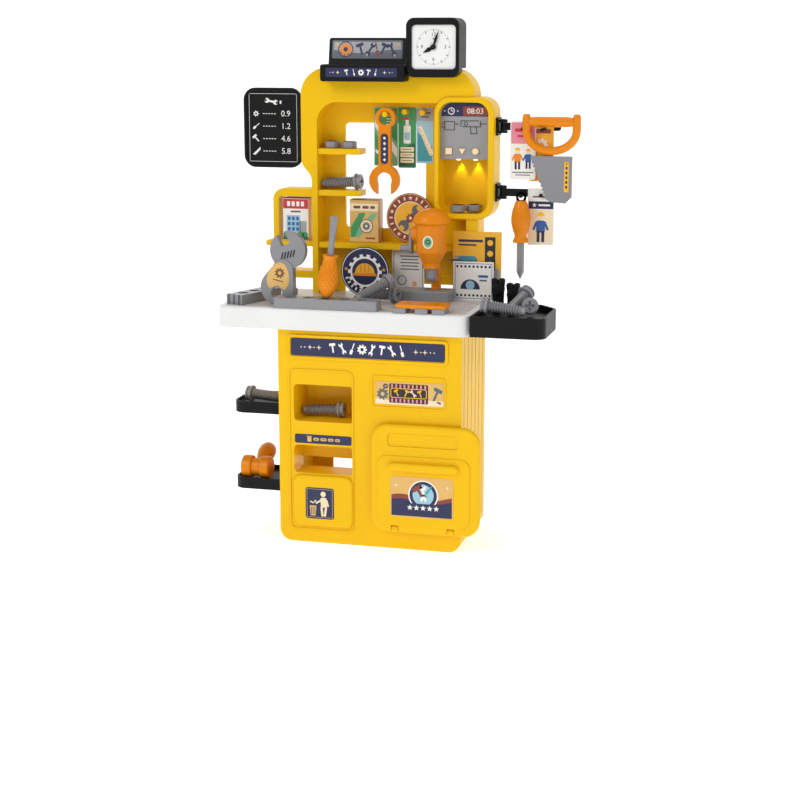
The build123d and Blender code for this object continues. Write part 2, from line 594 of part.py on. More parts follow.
with BuildPart() as upper_arm_cards:
    arm_card((140.0, 171.0, 431.0, 500.0), ARM_PEGS["upper"][0][0], PEG_Z["upper"], 64.5)
    arm_card((163.0, 192.0, 429.0, 498.0), ARM_PEGS["upper"][1][0], PEG_Z["upper"], 66.5)
save(upper_arm_cards, "upper_arm_cards")

with BuildPart() as lower_arm_card:
    arm_card((162.0, 194.0, 352.6, 421.0), ARM_PEGS["lower"][0][0], PEG_Z["lower"], 66.5)
save(lower_arm_card, "lower_arm_card")


# Hanging tools ------------------------------------------------------------------------------

SAW_TOP = PEG_Z["upper"] + ARM_PEG_R
with BuildPart() as saw_handle:
    with BuildSketch(facing(HANG_Y + 5)) as saw_outline:
        with BuildLine():
            left_horn = Line((159, 511), (156, 486))
            grip_bow = RadiusArc(left_horn @ 1, (226, 486), -37)
            right_horn = Line(grip_bow @ 1, (223, 511))
            Line(right_horn @ 1, left_horn @ 0)
        make_face()
        fillet(saw_outline.vertices(), 3.0)
    extrude(saw_outline.sketch, amount=10)
    fillet(saw_handle.edges().filter_by(Axis.Y, reverse=True), 1.5)
    with BuildSketch(facing(HANG_Y + 6)) as hand_hole:
        with BuildLine():
            hole_top = Line((170, SAW_TOP), (212, SAW_TOP))
            RadiusArc(hole_top @ 1, hole_top @ 0, 22)
        make_face()
    extrude(hand_hole.sketch, amount=12, mode=Mode.SUBTRACT)
    slab((165, 218, 440, 461), HANG_Y - 1, HANG_Y + 1, mode=Mode.SUBTRACT)
save(saw_handle, "saw_handle")

TOOTH = 4.6
with BuildPart() as saw_blade:
    with BuildSketch(facing(HANG_Y + 1)) as blade_outline:
        teeth = []
        for tooth in range(11):
            root_x, root_z = 167.0 + 1.8 * tooth, 460.0 - TOOTH * tooth
            teeth += [(root_x, root_z), (root_x - 0.9, root_z - TOOTH * 0.8)]
        with BuildLine():
            Polyline(*teeth, (191, 406), (209, 404.5), (216.5, 412), (216.5, 460), close=True)
        make_face()
    extrude(blade_outline.sketch, amount=2)
save(saw_blade, "saw_blade")


def turned_handle(outline_points, top, bottom):
    """A handle turned about its own axis, from (radius, height) points."""
    with BuildSketch(Plane.XZ) as half_section:
        with BuildLine():
            side = Spline(*outline_points)
            Polyline(side @ 1, (0, top), (0, bottom), side @ 0)
        make_face()
    revolve(half_section.sketch, axis=Axis.Z)


HANG_X = ARM_PEGS["lower"][1][0]
RING_R = 5.0
RING_Z = PEG_Z["lower"] + ARM_PEG_R - RING_R + 1.5
HANDLE_LENGTH, HANDLE_R = 50.0, 11.0
with BuildPart() as hanging_driver_handle:
    turned_handle(
        ((8.6, 0), (7.6, 7), (10.6, 24), (HANDLE_R, 34), (6.5, HANDLE_LENGTH)), HANDLE_LENGTH, 0
    )
    with BuildSketch(Plane.XZ) as ring_section:
        with Locations((0, HANDLE_LENGTH + 4.0)):
            Circle(RING_R + 1.5)
            Circle(RING_R - 1.5, mode=Mode.SUBTRACT)
    extrude(ring_section.sketch, amount=1.5, both=True)
hanging_driver_handle.part.move(Location((HANG_X, HANG_Y - 3, RING_Z - 4 - HANDLE_LENGTH)))
save(hanging_driver_handle, "hanging_driver_handle")

SHAFT_LENGTH = 44.0
with BuildPart() as hanging_driver_shaft:
    with BuildSketch(Plane.XY) as shaft_section:
        RegularPolygon(4.6, 6)
    extrude(shaft_section.sketch, amount=-SHAFT_LENGTH + 8)
    with BuildSketch(Plane.XY.offset(-SHAFT_LENGTH + 8)) as point_base:
        RegularPolygon(4.6, 6)
    extrude(point_base.sketch, amount=-8, taper=24)
hanging_driver_shaft.part.move(Location((HANG_X, HANG_Y - 3, RING_Z - 4 - HANDLE_LENGTH)))
save(hanging_driver_shaft, "hanging_driver_shaft")

RING_WRENCH = (-13.0, PEGS[0][1] + PEG_R - 8.0)
JAW = (-14.5, 427.0)
with BuildPart() as ring_wrench:
    with BuildSketch(facing(64)) as wrench_outline:
        with Locations(RING_WRENCH):
            Circle(12.5)
        with Locations(JAW):
            Circle(19)
        with Locations((-14, 463)):
            Rectangle(15, 60)
        with Locations(RING_WRENCH):
            Circle(8.0, mode=Mode.SUBTRACT)
        with Locations((JAW[0], JAW[1] - 10)):
            Rectangle(17, 26, mode=Mode.SUBTRACT)
        with Locations(JAW):
            Circle(9.5, mode=Mode.SUBTRACT)
    extrude(wrench_outline.sketch, amount=7)
    slab((-19.0, -9.0, 446, 484), 57, 58, 4.5, mode=Mode.SUBTRACT)
save(ring_wrench, "ring_wrench")


# Things on the worktop ----------------------------------------------------------------------

DRIVER_X, DRIVER_Y = -52.0, -62.0
LEAN = 6.5
GRIP_LENGTH, SHAFT_END, TIP_END = 48.0, 70.0, 94.0
driver_place = Location((DRIVER_X, DRIVER_Y, TOP_Z + BAR_H + 3.2), (0, LEAN, 0))
with BuildPart() as standing_driver_handle:
    turned_handle(
        ((6.0, 0), (11.6, 13), (11.0, 27), (7.6, 42), (9.6, GRIP_LENGTH)), GRIP_LENGTH, 0
    )
    with Locations((-4.0, 0, -1), (4.0, 0, -1)):
        Cylinder(1.8, 4)
standing_driver_handle.part.move(driver_place)
save(standing_driver_handle, "standing_driver_handle")

with BuildPart() as standing_driver_blade:
    with BuildSketch(Plane.XY.offset(GRIP_LENGTH)) as driver_shaft:
        Circle(3.6)
    extrude(driver_shaft.sketch, amount=SHAFT_END - GRIP_LENGTH)
    with BuildSketch(Plane.XY.offset(SHAFT_END)) as flat_base:
        Circle(3.6)
    with BuildSketch(Plane.XY.offset(TIP_END)) as flat_tip:
        Rectangle(9.0, 1.8)
    loft([flat_base.sketch.face(), flat_tip.sketch.face()])
standing_driver_blade.part.move(driver_place)
save(standing_driver_blade, "standing_driver_blade")

WRENCH_Y = -38.0
with BuildPart() as adjustable_wrench:
    with BuildSketch(facing(WRENCH_Y)) as adjustable_outline:
        with Locations((-117.5, TOP_Z + 20.5)):
            Circle(20.5)
        with Locations((-110, 328)):
            Circle(12.5)
        make_hull()
    extrude(adjustable_outline.sketch, amount=11)
    with BuildSketch(facing(WRENCH_Y - 1)) as head_outline:
        with Locations((-104, 351)):
            Circle(22)
        with Locations(Location((-111, 368), 24)):
            Rectangle(11, 22, mode=Mode.SUBTRACT)
    extrude(head_outline.sketch, amount=9)
    rod((-118.0, WRENCH_Y, TOP_Z + 14), (0, -1, 0), 7.0, 12, mode=Mode.SUBTRACT)
save(adjustable_wrench, "adjustable_wrench")

BAR_HOLES = (-96.0, -74.0, DRIVER_X, -30.0, -8.0)
HOLE_R = 6.6
SHORT_BAR_LENGTH, SHORT_BAR_DEPTH = 78.0, 23.0
short_bar_place = Location((-167.0, -62.0, TOP_Z), (0, 0, 72))
with BuildPart() as perforated_bars:
    block(BAR, TOP_Z, TOP_Z + BAR_H)
    fillet(perforated_bars.edges().filter_by(Axis.Z), 2.0)
    for hole_x in BAR_HOLES:
        rod((hole_x, DRIVER_Y, TOP_Z), (0, 0, 1), HOLE_R, BAR_H, mode=Mode.SUBTRACT)
    with BuildSketch(Plane(short_bar_place)):
        with Locations((SHORT_BAR_LENGTH / 2, 0)):
            Rectangle(SHORT_BAR_LENGTH, SHORT_BAR_DEPTH)
        with Locations((0, -7.5), (0, 0), (0, 7.5)):
            Rectangle(4, 3.5, mode=Mode.SUBTRACT)
        with Locations((18, 0), (40, 0), (62, 0)):
            Circle(HOLE_R, mode=Mode.SUBTRACT)
    extrude(amount=BAR_H)
    for foot_x in (32.0, 58.0, 78.0):
        block((foot_x, foot_x + 15, -75.0, -50.0), TOP_Z, TOP_Z + 6, 1.5)
save(perforated_bars, "perforated_bars")

WORK_PLATE = (34.0, 94.0, -74.0, -44.0)
with BuildPart() as work_plate:
    block(WORK_PLATE, TOP_Z + 6, TOP_Z + 10, 3.0)
    for plate_x in (47.0, 81.0):
        rod((plate_x, -58.0, TOP_Z + 6), (0, 0, 1), 3.4, 4, mode=Mode.SUBTRACT)
save(work_plate, "work_plate")


# Toy drill press: the whole machine lifts off, and its crank turns the chuck -----------------

DRILL_BASE = (14.6, 78.0, 12.0, 43.0)
BASE_TOP = TOP_Z + 14
with BuildPart() as drill_base:
    block(DRILL_BASE, TOP_Z, BASE_TOP, 3.0)
    fillet(drill_base.faces().sort_by(Axis.Z)[-1].edges(), 2.0)
save(drill_base, "drill_base")

NECK_Z, BELLY_Z, CAP_Z, DRILL_TOP = 327.0, 347.0, 379.0, 399.0
BODY_R, NECK_R, CAP_R = 18.5, 10.5, 22.6
with BuildPart() as drill_body:
    with BuildSketch(Plane.XZ) as body_half:
        with BuildLine():
            cone = Polyline((0, NECK_Z), (NECK_R, NECK_Z), (NECK_R, NECK_Z + 6),
                            (BODY_R, BELLY_Z), (BODY_R, CAP_Z), (CAP_R, CAP_Z + 3))
            crown = Spline(
                cone @ 1, (19, CAP_Z + 12), (0, DRILL_TOP), tangents=((-0.1, 1), (-1, 0))
            )
            Line(crown @ 1, cone @ 0)
        make_face()
    revolve(body_half.sketch, axis=Axis.Z)
    rod((-16, 0, CRANK_AXIS_Z), (-1, 0, 0), 9.0, 7)
    rod((2, 16, BASE_TOP), (0, 0, 1), 6.0, 50)
    with BuildSketch(Plane.XZ) as cavity_half:
        with BuildLine():
            Polyline((0, NECK_Z + 3), (7.5, NECK_Z + 3), (7.5, NECK_Z + 8),
                     (BODY_R - 2.5, BELLY_Z + 2), (BODY_R - 2.5, CAP_Z + 6), (0, CAP_Z + 10),
                     close=True)
        make_face()
    revolve(cavity_half.sketch, axis=Axis.Z, mode=Mode.SUBTRACT)
    rod((0, 0, NECK_Z), (0, 0, 1), SPINDLE_R + PIN_FIT, 4, mode=Mode.SUBTRACT)
    rod((-24, 0, CRANK_AXIS_Z), (1, 0, 0), SPINDLE_R + PIN_FIT, 12, mode=Mode.SUBTRACT)
drill_body.part.move(Location((DRILL_X, DRILL_Y, 0)))
save(drill_body, "drill_body")

with BuildPart() as drill_crank:
    rod((-26, 0, CRANK_AXIS_Z), (1, 0, 0), SPINDLE_R, 16)
    rod((-13.5, 0, CRANK_AXIS_Z), (1, 0, 0), 8.0, 3)
    with BuildSketch(Plane(origin=(-26.5, 0, 0), x_dir=(0, 1, 0), z_dir=(1, 0, 0))) as crank_plate:
        with Locations((0, CRANK_AXIS_Z), (0, CRANK_AXIS_Z - 18)):
            Circle(6.5)
        make_hull()
    extrude(crank_plate.sketch, amount=3)
    rod((-38, 0, CRANK_AXIS_Z - 18), (1, 0, 0), 4.2, 12)
drill_crank.part.move(Location((DRILL_X, DRILL_Y, 0)))
save(drill_crank, "drill_crank")

with BuildPart() as drill_chuck:
    with BuildSketch(Plane.XZ) as chuck_half:
        with BuildLine():
            chuck_side = Polyline((0, NECK_Z - 0.5), (6.8, NECK_Z - 0.5), (6.8, 317))
            ball = Spline(chuck_side @ 1, (4.8, 312), (0, 310), tangents=((0, -1), (-1, 0)))
            Line(ball @ 1, chuck_side @ 0)
        make_face()
    revolve(chuck_half.sketch, axis=Axis.Z)
    rod((0, 0, NECK_Z - 1), (0, 0, 1), SPINDLE_R, 28)
    rod((0, 0, NECK_Z + 27), (0, 0, 1), 8.0, 3)
drill_chuck.part.move(Location((DRILL_X, DRILL_Y, 0)))
save(drill_chuck, "drill_chuck")


# Mallet on the lower side tray ---------------------------------------------------------------

MALLET_R = 14.0
MALLET_Z = SIDE_TRAYS["lower"] + SIDE_TRAY_H - DISH + MALLET_R + 0.4
MALLET_Y = -20.5
with BuildPart() as mallet_shaft:
    turned_handle(((5.5, 0), (6.5, 14), (10.8, 32), (10.0, 44), (0.5, 53)), 53, 0)
with BuildPart() as mallet:
    for head_x, head_length in ((-174.2, 13.0), (-151.2, 13.0)):
        rod((head_x, MALLET_Y, MALLET_Z), (1, 0, 0), MALLET_R, head_length)
    fillet(mallet.edges().filter_by(GeomType.CIRCLE), 2.5)
    rod((-163, MALLET_Y, MALLET_Z), (1, 0, 0), MALLET_R - 3, 14)
    add(mallet_shaft.part.moved(Location((-156, MALLET_Y, MALLET_Z), (-74, 0, -16))))
save(mallet, "mallet")


# Loose fasteners ----------------------------------------------------------------------------

LYING = HEAD_R + 0.6                # height of a bolt's head axis above what it lies on
DIP = 3.6                           # a lying bolt's dip, because its shank is thinner than its head


def play_bolt(point, heading, dip=DIP):
    """A chunky play bolt: its head's place, which way its shank points in plan, and its dip."""
    place = Location(point, (0, 0, heading)) * Location((0, 0, 0), (0, dip, 0))
    with BuildPart() as bolt:
        rod((HEAD_H, 0, 0), (1, 0, 0), BOLT_R, BOLT_LENGTH)
        chamfer(bolt.faces().sort_by(Axis.X)[-1].edges(), 1.2)
        rod((2.5, 0, 0), (1, 0, 0), 8.0, HEAD_H - 2.5)
        rod((0, 0, 0), (1, 0, 0), HEAD_R - 1.0, 2.5)
        rod((HEAD_H - 3, 0, 0), (1, 0, 0), HEAD_R, 3.0)
        for width, height in ((10, 3), (3, 10)):
            with BuildSketch(Plane(origin=(0, 0, 0), x_dir=(0, 1, 0), z_dir=(1, 0, 0))) as slot:
                Rectangle(width, height)
            extrude(slot.sketch, amount=3.5, mode=Mode.SUBTRACT)
    return bolt.part.moved(place)


UPPER_DISH = SIDE_TRAYS["upper"] + SIDE_TRAY_H - DISH
laid_bolts = [
    play_bolt((-38.0, -36.0, COMPARTMENT[2] + LYING), 180),
    play_bolt((-170.0, -14.0, UPPER_DISH + LYING), -5),
    play_bolt((-45.0, 64.5, SHORT_SHELF_TOPS["middle"] + LYING), 176),
    play_bolt((14.0, -12.0, TOP_Z + 30), 222, dip=24),
    play_bolt((19.0, -2.0, TOP_Z + LYING), 164),
    play_bolt((133.5, -60.0, TRAY_FLOOR + 20), 0, dip=8),
    play_bolt((180.0, -14.0, TRAY_FLOOR + 31), 240, dip=30),
    play_bolt((188.0, -50.0, TRAY_FLOOR + 19), 100, dip=12),
]
with BuildPart() as toy_bolts:
    add(laid_bolts)
save(toy_bolts, "toy_bolts")

NICHE_REST = NICHE[2] + 1.3         # height at which a nut clears the niche's rounded corners
nut_places = (
    Location((-83.0, 66.0, SHORT_SHELF_TOPS["upper"])),
    Location((-61.5, 66.0, SHORT_SHELF_TOPS["upper"]), (0, 0, 12)),
    Location((77.5, 60.0, NICHE_REST)), Location((95.5, 69.5, NICHE_REST), (0, 0, 24)),
    Location((-128.0, 30.0, TOP_Z), (0, 0, 8)),
)
with BuildPart() as toy_nuts:
    with BuildSketch(*[Plane(nut_place) for nut_place in nut_places]):
        RegularPolygon(NUT_AF / 2, 6, major_radius=False)
        Circle(BOLT_R + 0.4, mode=Mode.SUBTRACT)
    extrude(amount=NUT_H)
save(toy_nuts, "toy_nuts")


# Boxes, cards and badges ---------------------------------------------------------------------

with BuildPart() as parts_boxes:
    slab((-145.5, -112.0, SHELF_Z, 403.0), 58, 79)
    slab((-59.0, -22.0, SHELF_Z, 403.0), 58, 79)
save(parts_boxes, "parts_boxes")

BADGE_R, BADGE_T = 30.5, 2.0
PEG_CARDS = ((-33.0, -3.0, 443.0), (-2.5, 20.0, 441.0), (20.5, 41.5, 447.0))
with BuildPart() as printed_cards:
    for (card_left, card_right, card_low), (peg_x, peg_z, reach) in zip(PEG_CARDS, PEGS):
        slab((card_left, card_right, card_low, 514.0), PANEL_Y - CARD_T, PANEL_Y, 2.0)
        rod((peg_x, PANEL_Y, peg_z), (0, -1, 0), PEG_R, CARD_T, mode=Mode.SUBTRACT)
    rod((15.1, 73.0, SHELF_Z + BADGE_R), (0, -1, 0), BADGE_R, BADGE_T)
    rod((-34.5, 42.0, TOP_Z + BADGE_R), (0, -1, 0), BADGE_R, BADGE_T)
    slab((-7.0, 34.0, TOP_Z, 342.0), 66, 66 + CARD_T)
    slab((74.0, 134.0, TOP_Z, 369.0), 50 - CARD_T, 50)
    slab((76.0, 126.0, TOP_Z, 333.0), 44 - CARD_T, 44)
save(printed_cards, "printed_cards")

with BuildPart() as spring_clamps:
    for clamp_x, clamp_y, clamp_h in ((139.0, 8.0, 41.0), (156.0, 14.0, 35.0)):
        block((clamp_x - 7.5, clamp_x + 7.5, clamp_y - 5, clamp_y + 5), TRAY_FLOOR,
              TRAY_FLOOR + clamp_h, 3.0)
        rod((clamp_x, clamp_y - 7, TRAY_FLOOR + clamp_h - 13), (0, 1, 0), 7.0, 14)
save(spring_clamps, "spring_clamps")
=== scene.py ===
"""Looks of the toy workbench: moulded shells, printed sheets, cartons and play tools."""
import json
import math

import bmesh
import bpy
from mathutils import Matrix, Vector


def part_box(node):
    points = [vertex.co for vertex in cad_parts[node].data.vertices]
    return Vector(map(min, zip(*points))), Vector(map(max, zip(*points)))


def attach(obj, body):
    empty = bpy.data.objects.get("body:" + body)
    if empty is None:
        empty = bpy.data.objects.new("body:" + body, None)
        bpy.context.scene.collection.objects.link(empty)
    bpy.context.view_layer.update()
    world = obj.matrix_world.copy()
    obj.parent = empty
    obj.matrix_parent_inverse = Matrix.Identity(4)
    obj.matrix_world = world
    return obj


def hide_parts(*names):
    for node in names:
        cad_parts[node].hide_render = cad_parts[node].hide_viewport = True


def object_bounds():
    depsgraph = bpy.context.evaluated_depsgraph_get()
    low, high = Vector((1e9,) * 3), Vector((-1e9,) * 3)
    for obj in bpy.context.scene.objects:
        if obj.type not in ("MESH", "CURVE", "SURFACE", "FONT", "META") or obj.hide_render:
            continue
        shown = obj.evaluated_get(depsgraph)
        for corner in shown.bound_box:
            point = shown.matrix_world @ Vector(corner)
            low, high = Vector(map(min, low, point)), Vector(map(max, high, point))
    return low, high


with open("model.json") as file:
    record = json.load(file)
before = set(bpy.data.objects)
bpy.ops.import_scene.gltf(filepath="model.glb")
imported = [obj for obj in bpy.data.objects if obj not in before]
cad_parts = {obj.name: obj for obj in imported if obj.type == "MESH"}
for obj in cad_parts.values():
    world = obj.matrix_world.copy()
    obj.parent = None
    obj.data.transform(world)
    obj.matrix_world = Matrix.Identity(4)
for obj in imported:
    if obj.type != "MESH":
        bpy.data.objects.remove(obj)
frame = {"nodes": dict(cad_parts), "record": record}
cad_low, cad_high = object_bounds()

MM = 0.001
NODES = frame["nodes"]


# Finishes -----------------------------------------------------------------------------------

def paint(code):
    """A screen colour such as "F7B500" as linear red, green, blue and alpha."""
    shares = [int(code[i:i + 2], 16) / 255 for i in (0, 2, 4)]
    linear = [s / 12.92 if s < 0.04045 else ((s + 0.055) / 1.055) ** 2.4 for s in shares]
    return (*linear, 1.0)


class Wire:
    """A shader socket that can be used in sums."""

    def __init__(self, finish, socket):
        self.finish, self.socket = finish, socket

    def sum(self, operation, first, second=0.0):
        return self.finish.node("ShaderNodeMath", {"operation": operation}, {0: first, 1: second})

    def __add__(self, other):
        return self.sum("ADD", self, other)

    def __rsub__(self, other):
        return self.sum("SUBTRACT", other, self)

    def __mul__(self, other):
        return self.sum("MULTIPLY", self, other)

    def __gt__(self, other):
        return self.sum("GREATER_THAN", self, other)

    __radd__ = __add__
    __rmul__ = __mul__


class Finish:
    """One material, built node by node."""

    def __init__(self, name):
        self.material = bpy.data.materials.new(name)
        self.material.use_nodes = True
        self.tree = self.material.node_tree
        self.tree.nodes.clear()

    def node(self, kind, settings=None, sockets=None, out=0):
        """Add a node: its settings first, then its socket values and links."""
        made = self.tree.nodes.new(kind)
        for key, value in (settings or {}).items():
            setattr(made, key, value)
        for key, value in (sockets or {}).items():
            if isinstance(value, Wire):
                self.tree.links.new(value.socket, made.inputs[key])
            else:
                made.inputs[key].default_value = value
        return Wire(self, made.outputs[out]) if made.outputs else None

    def place(self, stretch=(1.0, 1.0, 1.0), turn=0.0):
        """Object coordinates, stretched and turned in plan."""
        here = self.node("ShaderNodeTexCoord", out="Object")
        return self.node("ShaderNodeMapping", None, {
            "Vector": here, "Scale": stretch, "Rotation": (0.0, 0.0, math.radians(turn)),
        })

    def noise(self, grain_mm, detail=2.0, stretch=(1.0, 1.0, 1.0)):
        """Cloudy values from 0 to 1 whose blotches are about grain_mm across."""
        return self.node("ShaderNodeTexNoise", None, {
            "Vector": self.place(stretch), "Scale": 1000 / grain_mm, "Detail": detail,
        })

    def blend(self, share, first, second):
        """A colour between two colours."""
        return self.node(
            "ShaderNodeMix", {"data_type": "RGBA", "clamp_factor": True},
            {0: share, 6: first, 7: second}, out=2,
        )

    def relief(self, height, depth_mm, under=None):
        """A bumped normal over an optional softened one."""
        sockets = {"Height": height, "Distance": depth_mm * MM, "Strength": 1.0}
        if under:
            sockets["Normal"] = under
        return self.node("ShaderNodeBump", None, sockets)

    def soft_edges(self, radius_mm):
        """The normal of a surface whose edges are rounded over."""
        return self.node("ShaderNodeBevel", {"samples": 4}, {"Radius": radius_mm * MM})

    def edge_wear(self, soft, strength):
        """Strong along edges, nought on flats: where a painted highlight lightens the colour."""
        true = self.node("ShaderNodeNewGeometry", out="Normal")
        along = self.node(
            "ShaderNodeVectorMath", {"operation": "DOT_PRODUCT"}, {0: soft, 1: true}, out="Value"
        )
        return (1 - along) * strength

    def skin(self, **sockets):
        """Finish the material with a surface shader."""
        named = {key.replace("_", " "): value for key, value in sockets.items()}
        surface = self.node("ShaderNodeBsdfPrincipled", None, named)
        self.node("ShaderNodeOutputMaterial", None, {"Surface": surface})
        return self.material


def shade(colour, by):
    """A colour made lighter or darker by a factor."""
    return tuple(min(c * by, 1.0) for c in colour[:3]) + (1.0,)


def moulded(name, code, rough, grain_mm=0.7, grain_depth=0.02, coat=0.0, edge_mm=0.7, shine=0.2):
    """Injection-moulded plastic: faint flow clouds, fine texture, soft edges with a painted
    highlight along them.
    """
    finish = Finish(name)
    colour = paint(code)
    clouds = finish.noise(70, 3.0)
    specks = finish.noise(2.2, 2.0)
    soft = finish.soft_edges(edge_mm)
    # Painted highlight: the colour is lightened by 1.35 along edges, at a strength that varies at
    # random.
    edge_highlight = finish.edge_wear(soft, 1.6) * finish.noise(6, 3.0)
    tinted = finish.blend(clouds, shade(colour, 0.93), shade(colour, 1.05))
    speckled = finish.blend((specks > 0.67) * 0.22, tinted, shade(colour, 0.86))
    edge_highlit_colour = finish.blend(edge_highlight, speckled, shade(colour, 1.35))
    relief = finish.relief(finish.noise(grain_mm, 2.0), grain_depth, soft)
    return finish.skin(
        Base_Color=edge_highlit_colour, Roughness=clouds * 0.14 + (specks * 0.08 + (rough - 0.1)), Normal=relief,
        Coat_Weight=coat, Coat_Roughness=0.12, Specular_IOR_Level=shine,
    )


def printed(name, code, rough=0.42):
    """Ink on coated paper: fibre mottling, fine dots and a slight sheen."""
    finish = Finish(name)
    colour = paint(code)
    fibre = finish.noise(1.4, 4.0, (1.0, 1.0, 0.35))
    cloud = finish.noise(26, 2.0)
    tinted = finish.blend(cloud, shade(colour, 0.94), shade(colour, 1.05))
    mottled = finish.blend((fibre > 0.6) * 0.25, tinted, shade(colour, 0.88))
    return finish.skin(
        Base_Color=mottled, Roughness=fibre * 0.16 + (rough - 0.08),
        Normal=finish.relief(fibre, 0.008), Coat_Weight=0.12, Coat_Roughness=0.3,
    )


def plated(name, code, rough):
    """Plated steel with fine brushing and a few darker stains."""
    finish = Finish(name)
    colour = paint(code)
    brushed = finish.noise(0.8, 3.0, (1.0, 1.0, 0.08))
    stain = finish.noise(5, 4.0)
    tone = finish.blend((stain > 0.58) * 0.5, shade(colour, 1.0), shade(colour, 0.7))
    return finish.skin(
        Base_Color=tone, Metallic=0.9, Roughness=brushed * 0.25 + (rough - 0.1),
        Normal=finish.relief(brushed, 0.01, finish.soft_edges(0.3)),
    )


def planked():
    """Printed planks: long boards with dark joints, streaked grain and a pale glaze, thinned with
    use in patches.
    """
    finish = Finish("plank_print")
    boards = finish.node("ShaderNodeTexBrick", {"offset": 0.37, "offset_frequency": 2}, {
        "Vector": finish.place((1.0, 1.0, 1.0), 26.0), "Scale": 1.0, "Brick Width": 0.14,
        "Row Height": 0.021, "Mortar Size": 0.0006, "Mortar Smooth": 0.2,
        "Color1": paint("C9C5C0"), "Color2": paint("DAD7D3"), "Mortar": paint("8B8681"),
    }, out="Color")
    streak = finish.node("ShaderNodeTexNoise", None, {
        "Vector": finish.place((0.06, 1.0, 1.0), 26.0), "Scale": 420.0, "Detail": 4.0,
    })
    knots = finish.noise(38, 4.0)
    grained = finish.blend((streak > 0.55) * 0.4, boards, paint("A8A39E"))
    glazed = finish.blend((knots > 0.62) * 0.35, grained, paint("F1F0EE"))
    return finish.skin(
        Base_Color=glazed, Roughness=streak * 0.2 + 0.32, Normal=finish.relief(streak, 0.03),
        Coat_Weight=0.25, Coat_Roughness=0.2,
    )


def glowing():
    """Warm lamp lens with a brighter heart."""
    finish = Finish("warm_lens")
    ripple = finish.noise(1.1, 2.0)
    tone = finish.blend(ripple, paint("FFE9B0"), paint("FFF8E2"))
    return finish.skin(
        Base_Color=tone, Roughness=0.2, Emission_Color=tone, Emission_Strength=2.5,
        Normal=finish.relief(ripple, 0.02),
    )


SHELL = moulded("yellow_shell", "F4C200", 0.38, coat=0.04)
ORANGE = moulded("orange_plastic", "EA8A08", 0.34, coat=0.12, edge_mm=0.8)
GREY = moulded("grey_plastic", "8B8B8F", 0.32, grain_mm=0.9, grain_depth=0.03, edge_mm=0.6,
               shine=0.7)
BLACK = moulded("black_plastic", "0D0D10", 0.44, grain_mm=0.9, grain_depth=0.04)
WHITE = moulded("white_plastic", "EBEBEB", 0.34, coat=0.1, edge_mm=1.0)
CREAM = moulded("cream_plastic", "FFE3B8", 0.3, coat=0.3, edge_mm=0.5)
PANEL = moulded("panel_plastic", "9C9CA0", 0.36, edge_mm=0.5)
GREEN_BOARD = moulded("solder_mask", "14592C", 0.3, grain_mm=1.6, grain_depth=0.05)
STEEL = plated("zinc_steel", "B9B9BC", 0.35)
CELL = plated("cell_steel", "CFCFD2", 0.25)
PLANKS = planked()
LENS = glowing()

SLOT_FINISH = {
    "yellow_shell": SHELL, "orange_tool": ORANGE, "grey_tool": GREY, "black_plastic": BLACK,
    "white_top": WHITE, "plank_sheet": PLANKS, "cream_button": CREAM, "screw_steel": STEEL,
    "circuit_green": GREEN_BOARD, "cell_steel": CELL, "lamp_clear": LENS, "panel_grey": PANEL,
}
INK_CODES = {
    "navy": "1B2150", "deep": "12163A", "white": "F6F5F0", "cream": "F5E3BE", "tan": "E3B768",
    "sand": "C99A5B", "yellow": "F8B91E", "orange": "F08A24", "red": "C9303B", "rust": "8C3A2C",
    "brown": "7A4A30", "pink": "E98CA4", "green": "3E9A5B", "leaf": "7DB98A", "dark_green": "1F5E41",
    "teal": "3C97A8", "sky": "9CC8DE", "blue": "2C5FA8", "grey": "A3A7AB", "slate": "5D646C",
    "black": "1A1A1C", "dial": "F3F3F1", "chalk": "E9E9E4",
}
inks = {}


def ink(name):
    """The printed finish of one ink, made once."""
    if name not in inks:
        inks[name] = printed("ink_" + name, INK_CODES[name])
    return inks[name]


# Making pieces ------------------------------------------------------------------------------

def verts_of(found):
    return [item for item in found if isinstance(item, bmesh.types.BMVert)]


def edges_of(found):
    return [item for item in found if isinstance(item, bmesh.types.BMEdge)]


def add_piece(name, bm, materials, body, replaced=(), smooth=40):
    """Turn a bmesh in metres into a piece that rides on a body."""
    bmesh.ops.remove_doubles(bm, verts=bm.verts, dist=1e-7)
    bmesh.ops.recalc_face_normals(bm, faces=bm.faces)
    mesh = bpy.data.meshes.new(name)
    bm.to_mesh(mesh)
    bm.free()
    for material in materials:
        mesh.materials.append(material)
    mesh.shade_smooth()
    mesh.set_sharp_from_angle(angle=math.radians(smooth))
    piece = bpy.data.objects.new(name, mesh)
    bpy.context.scene.collection.objects.link(piece)
    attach(piece, body)
    if replaced:
        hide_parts(*replaced)
    return piece


def rounded_box(bm, size, matrix, edge, segments=3):
    """A box with rounded edges, in millimetres, placed by a matrix. Returns its vertices."""
    cube = bmesh.ops.create_cube(bm, size=1.0, matrix=Matrix.Diagonal((*size, 1.0)))["verts"]
    around = list({e for v in cube for e in v.link_edges})
    made = bmesh.ops.bevel(
        bm, geom=around, offset=edge, segments=segments, profile=0.5, affect="EDGES", material=-1,
    )["verts"]
    shell = list({v for v in made} | {v for v in cube if v.is_valid})
    bmesh.ops.transform(bm, matrix=matrix, verts=shell)
    return shell


def turned(bm, profile, steps=40):
    """A solid turned about local Z from (radius, height) points. Returns its vertices."""
    line = [bm.verts.new((radius, 0.0, height)) for radius, height in profile]
    for low, high in zip(line, line[1:]):
        bm.edges.new((low, high))
    rail = line + [e for v in line for e in v.link_edges]
    bmesh.ops.spin(
        bm, geom=list(set(rail)), cent=(0, 0, 0), axis=(0, 0, 1), steps=steps,
        angle=math.tau, use_merge=True,
    )
    whole = spread_from(line)
    bmesh.ops.remove_doubles(bm, verts=whole, dist=1e-5)
    return [v for v in whole if v.is_valid]


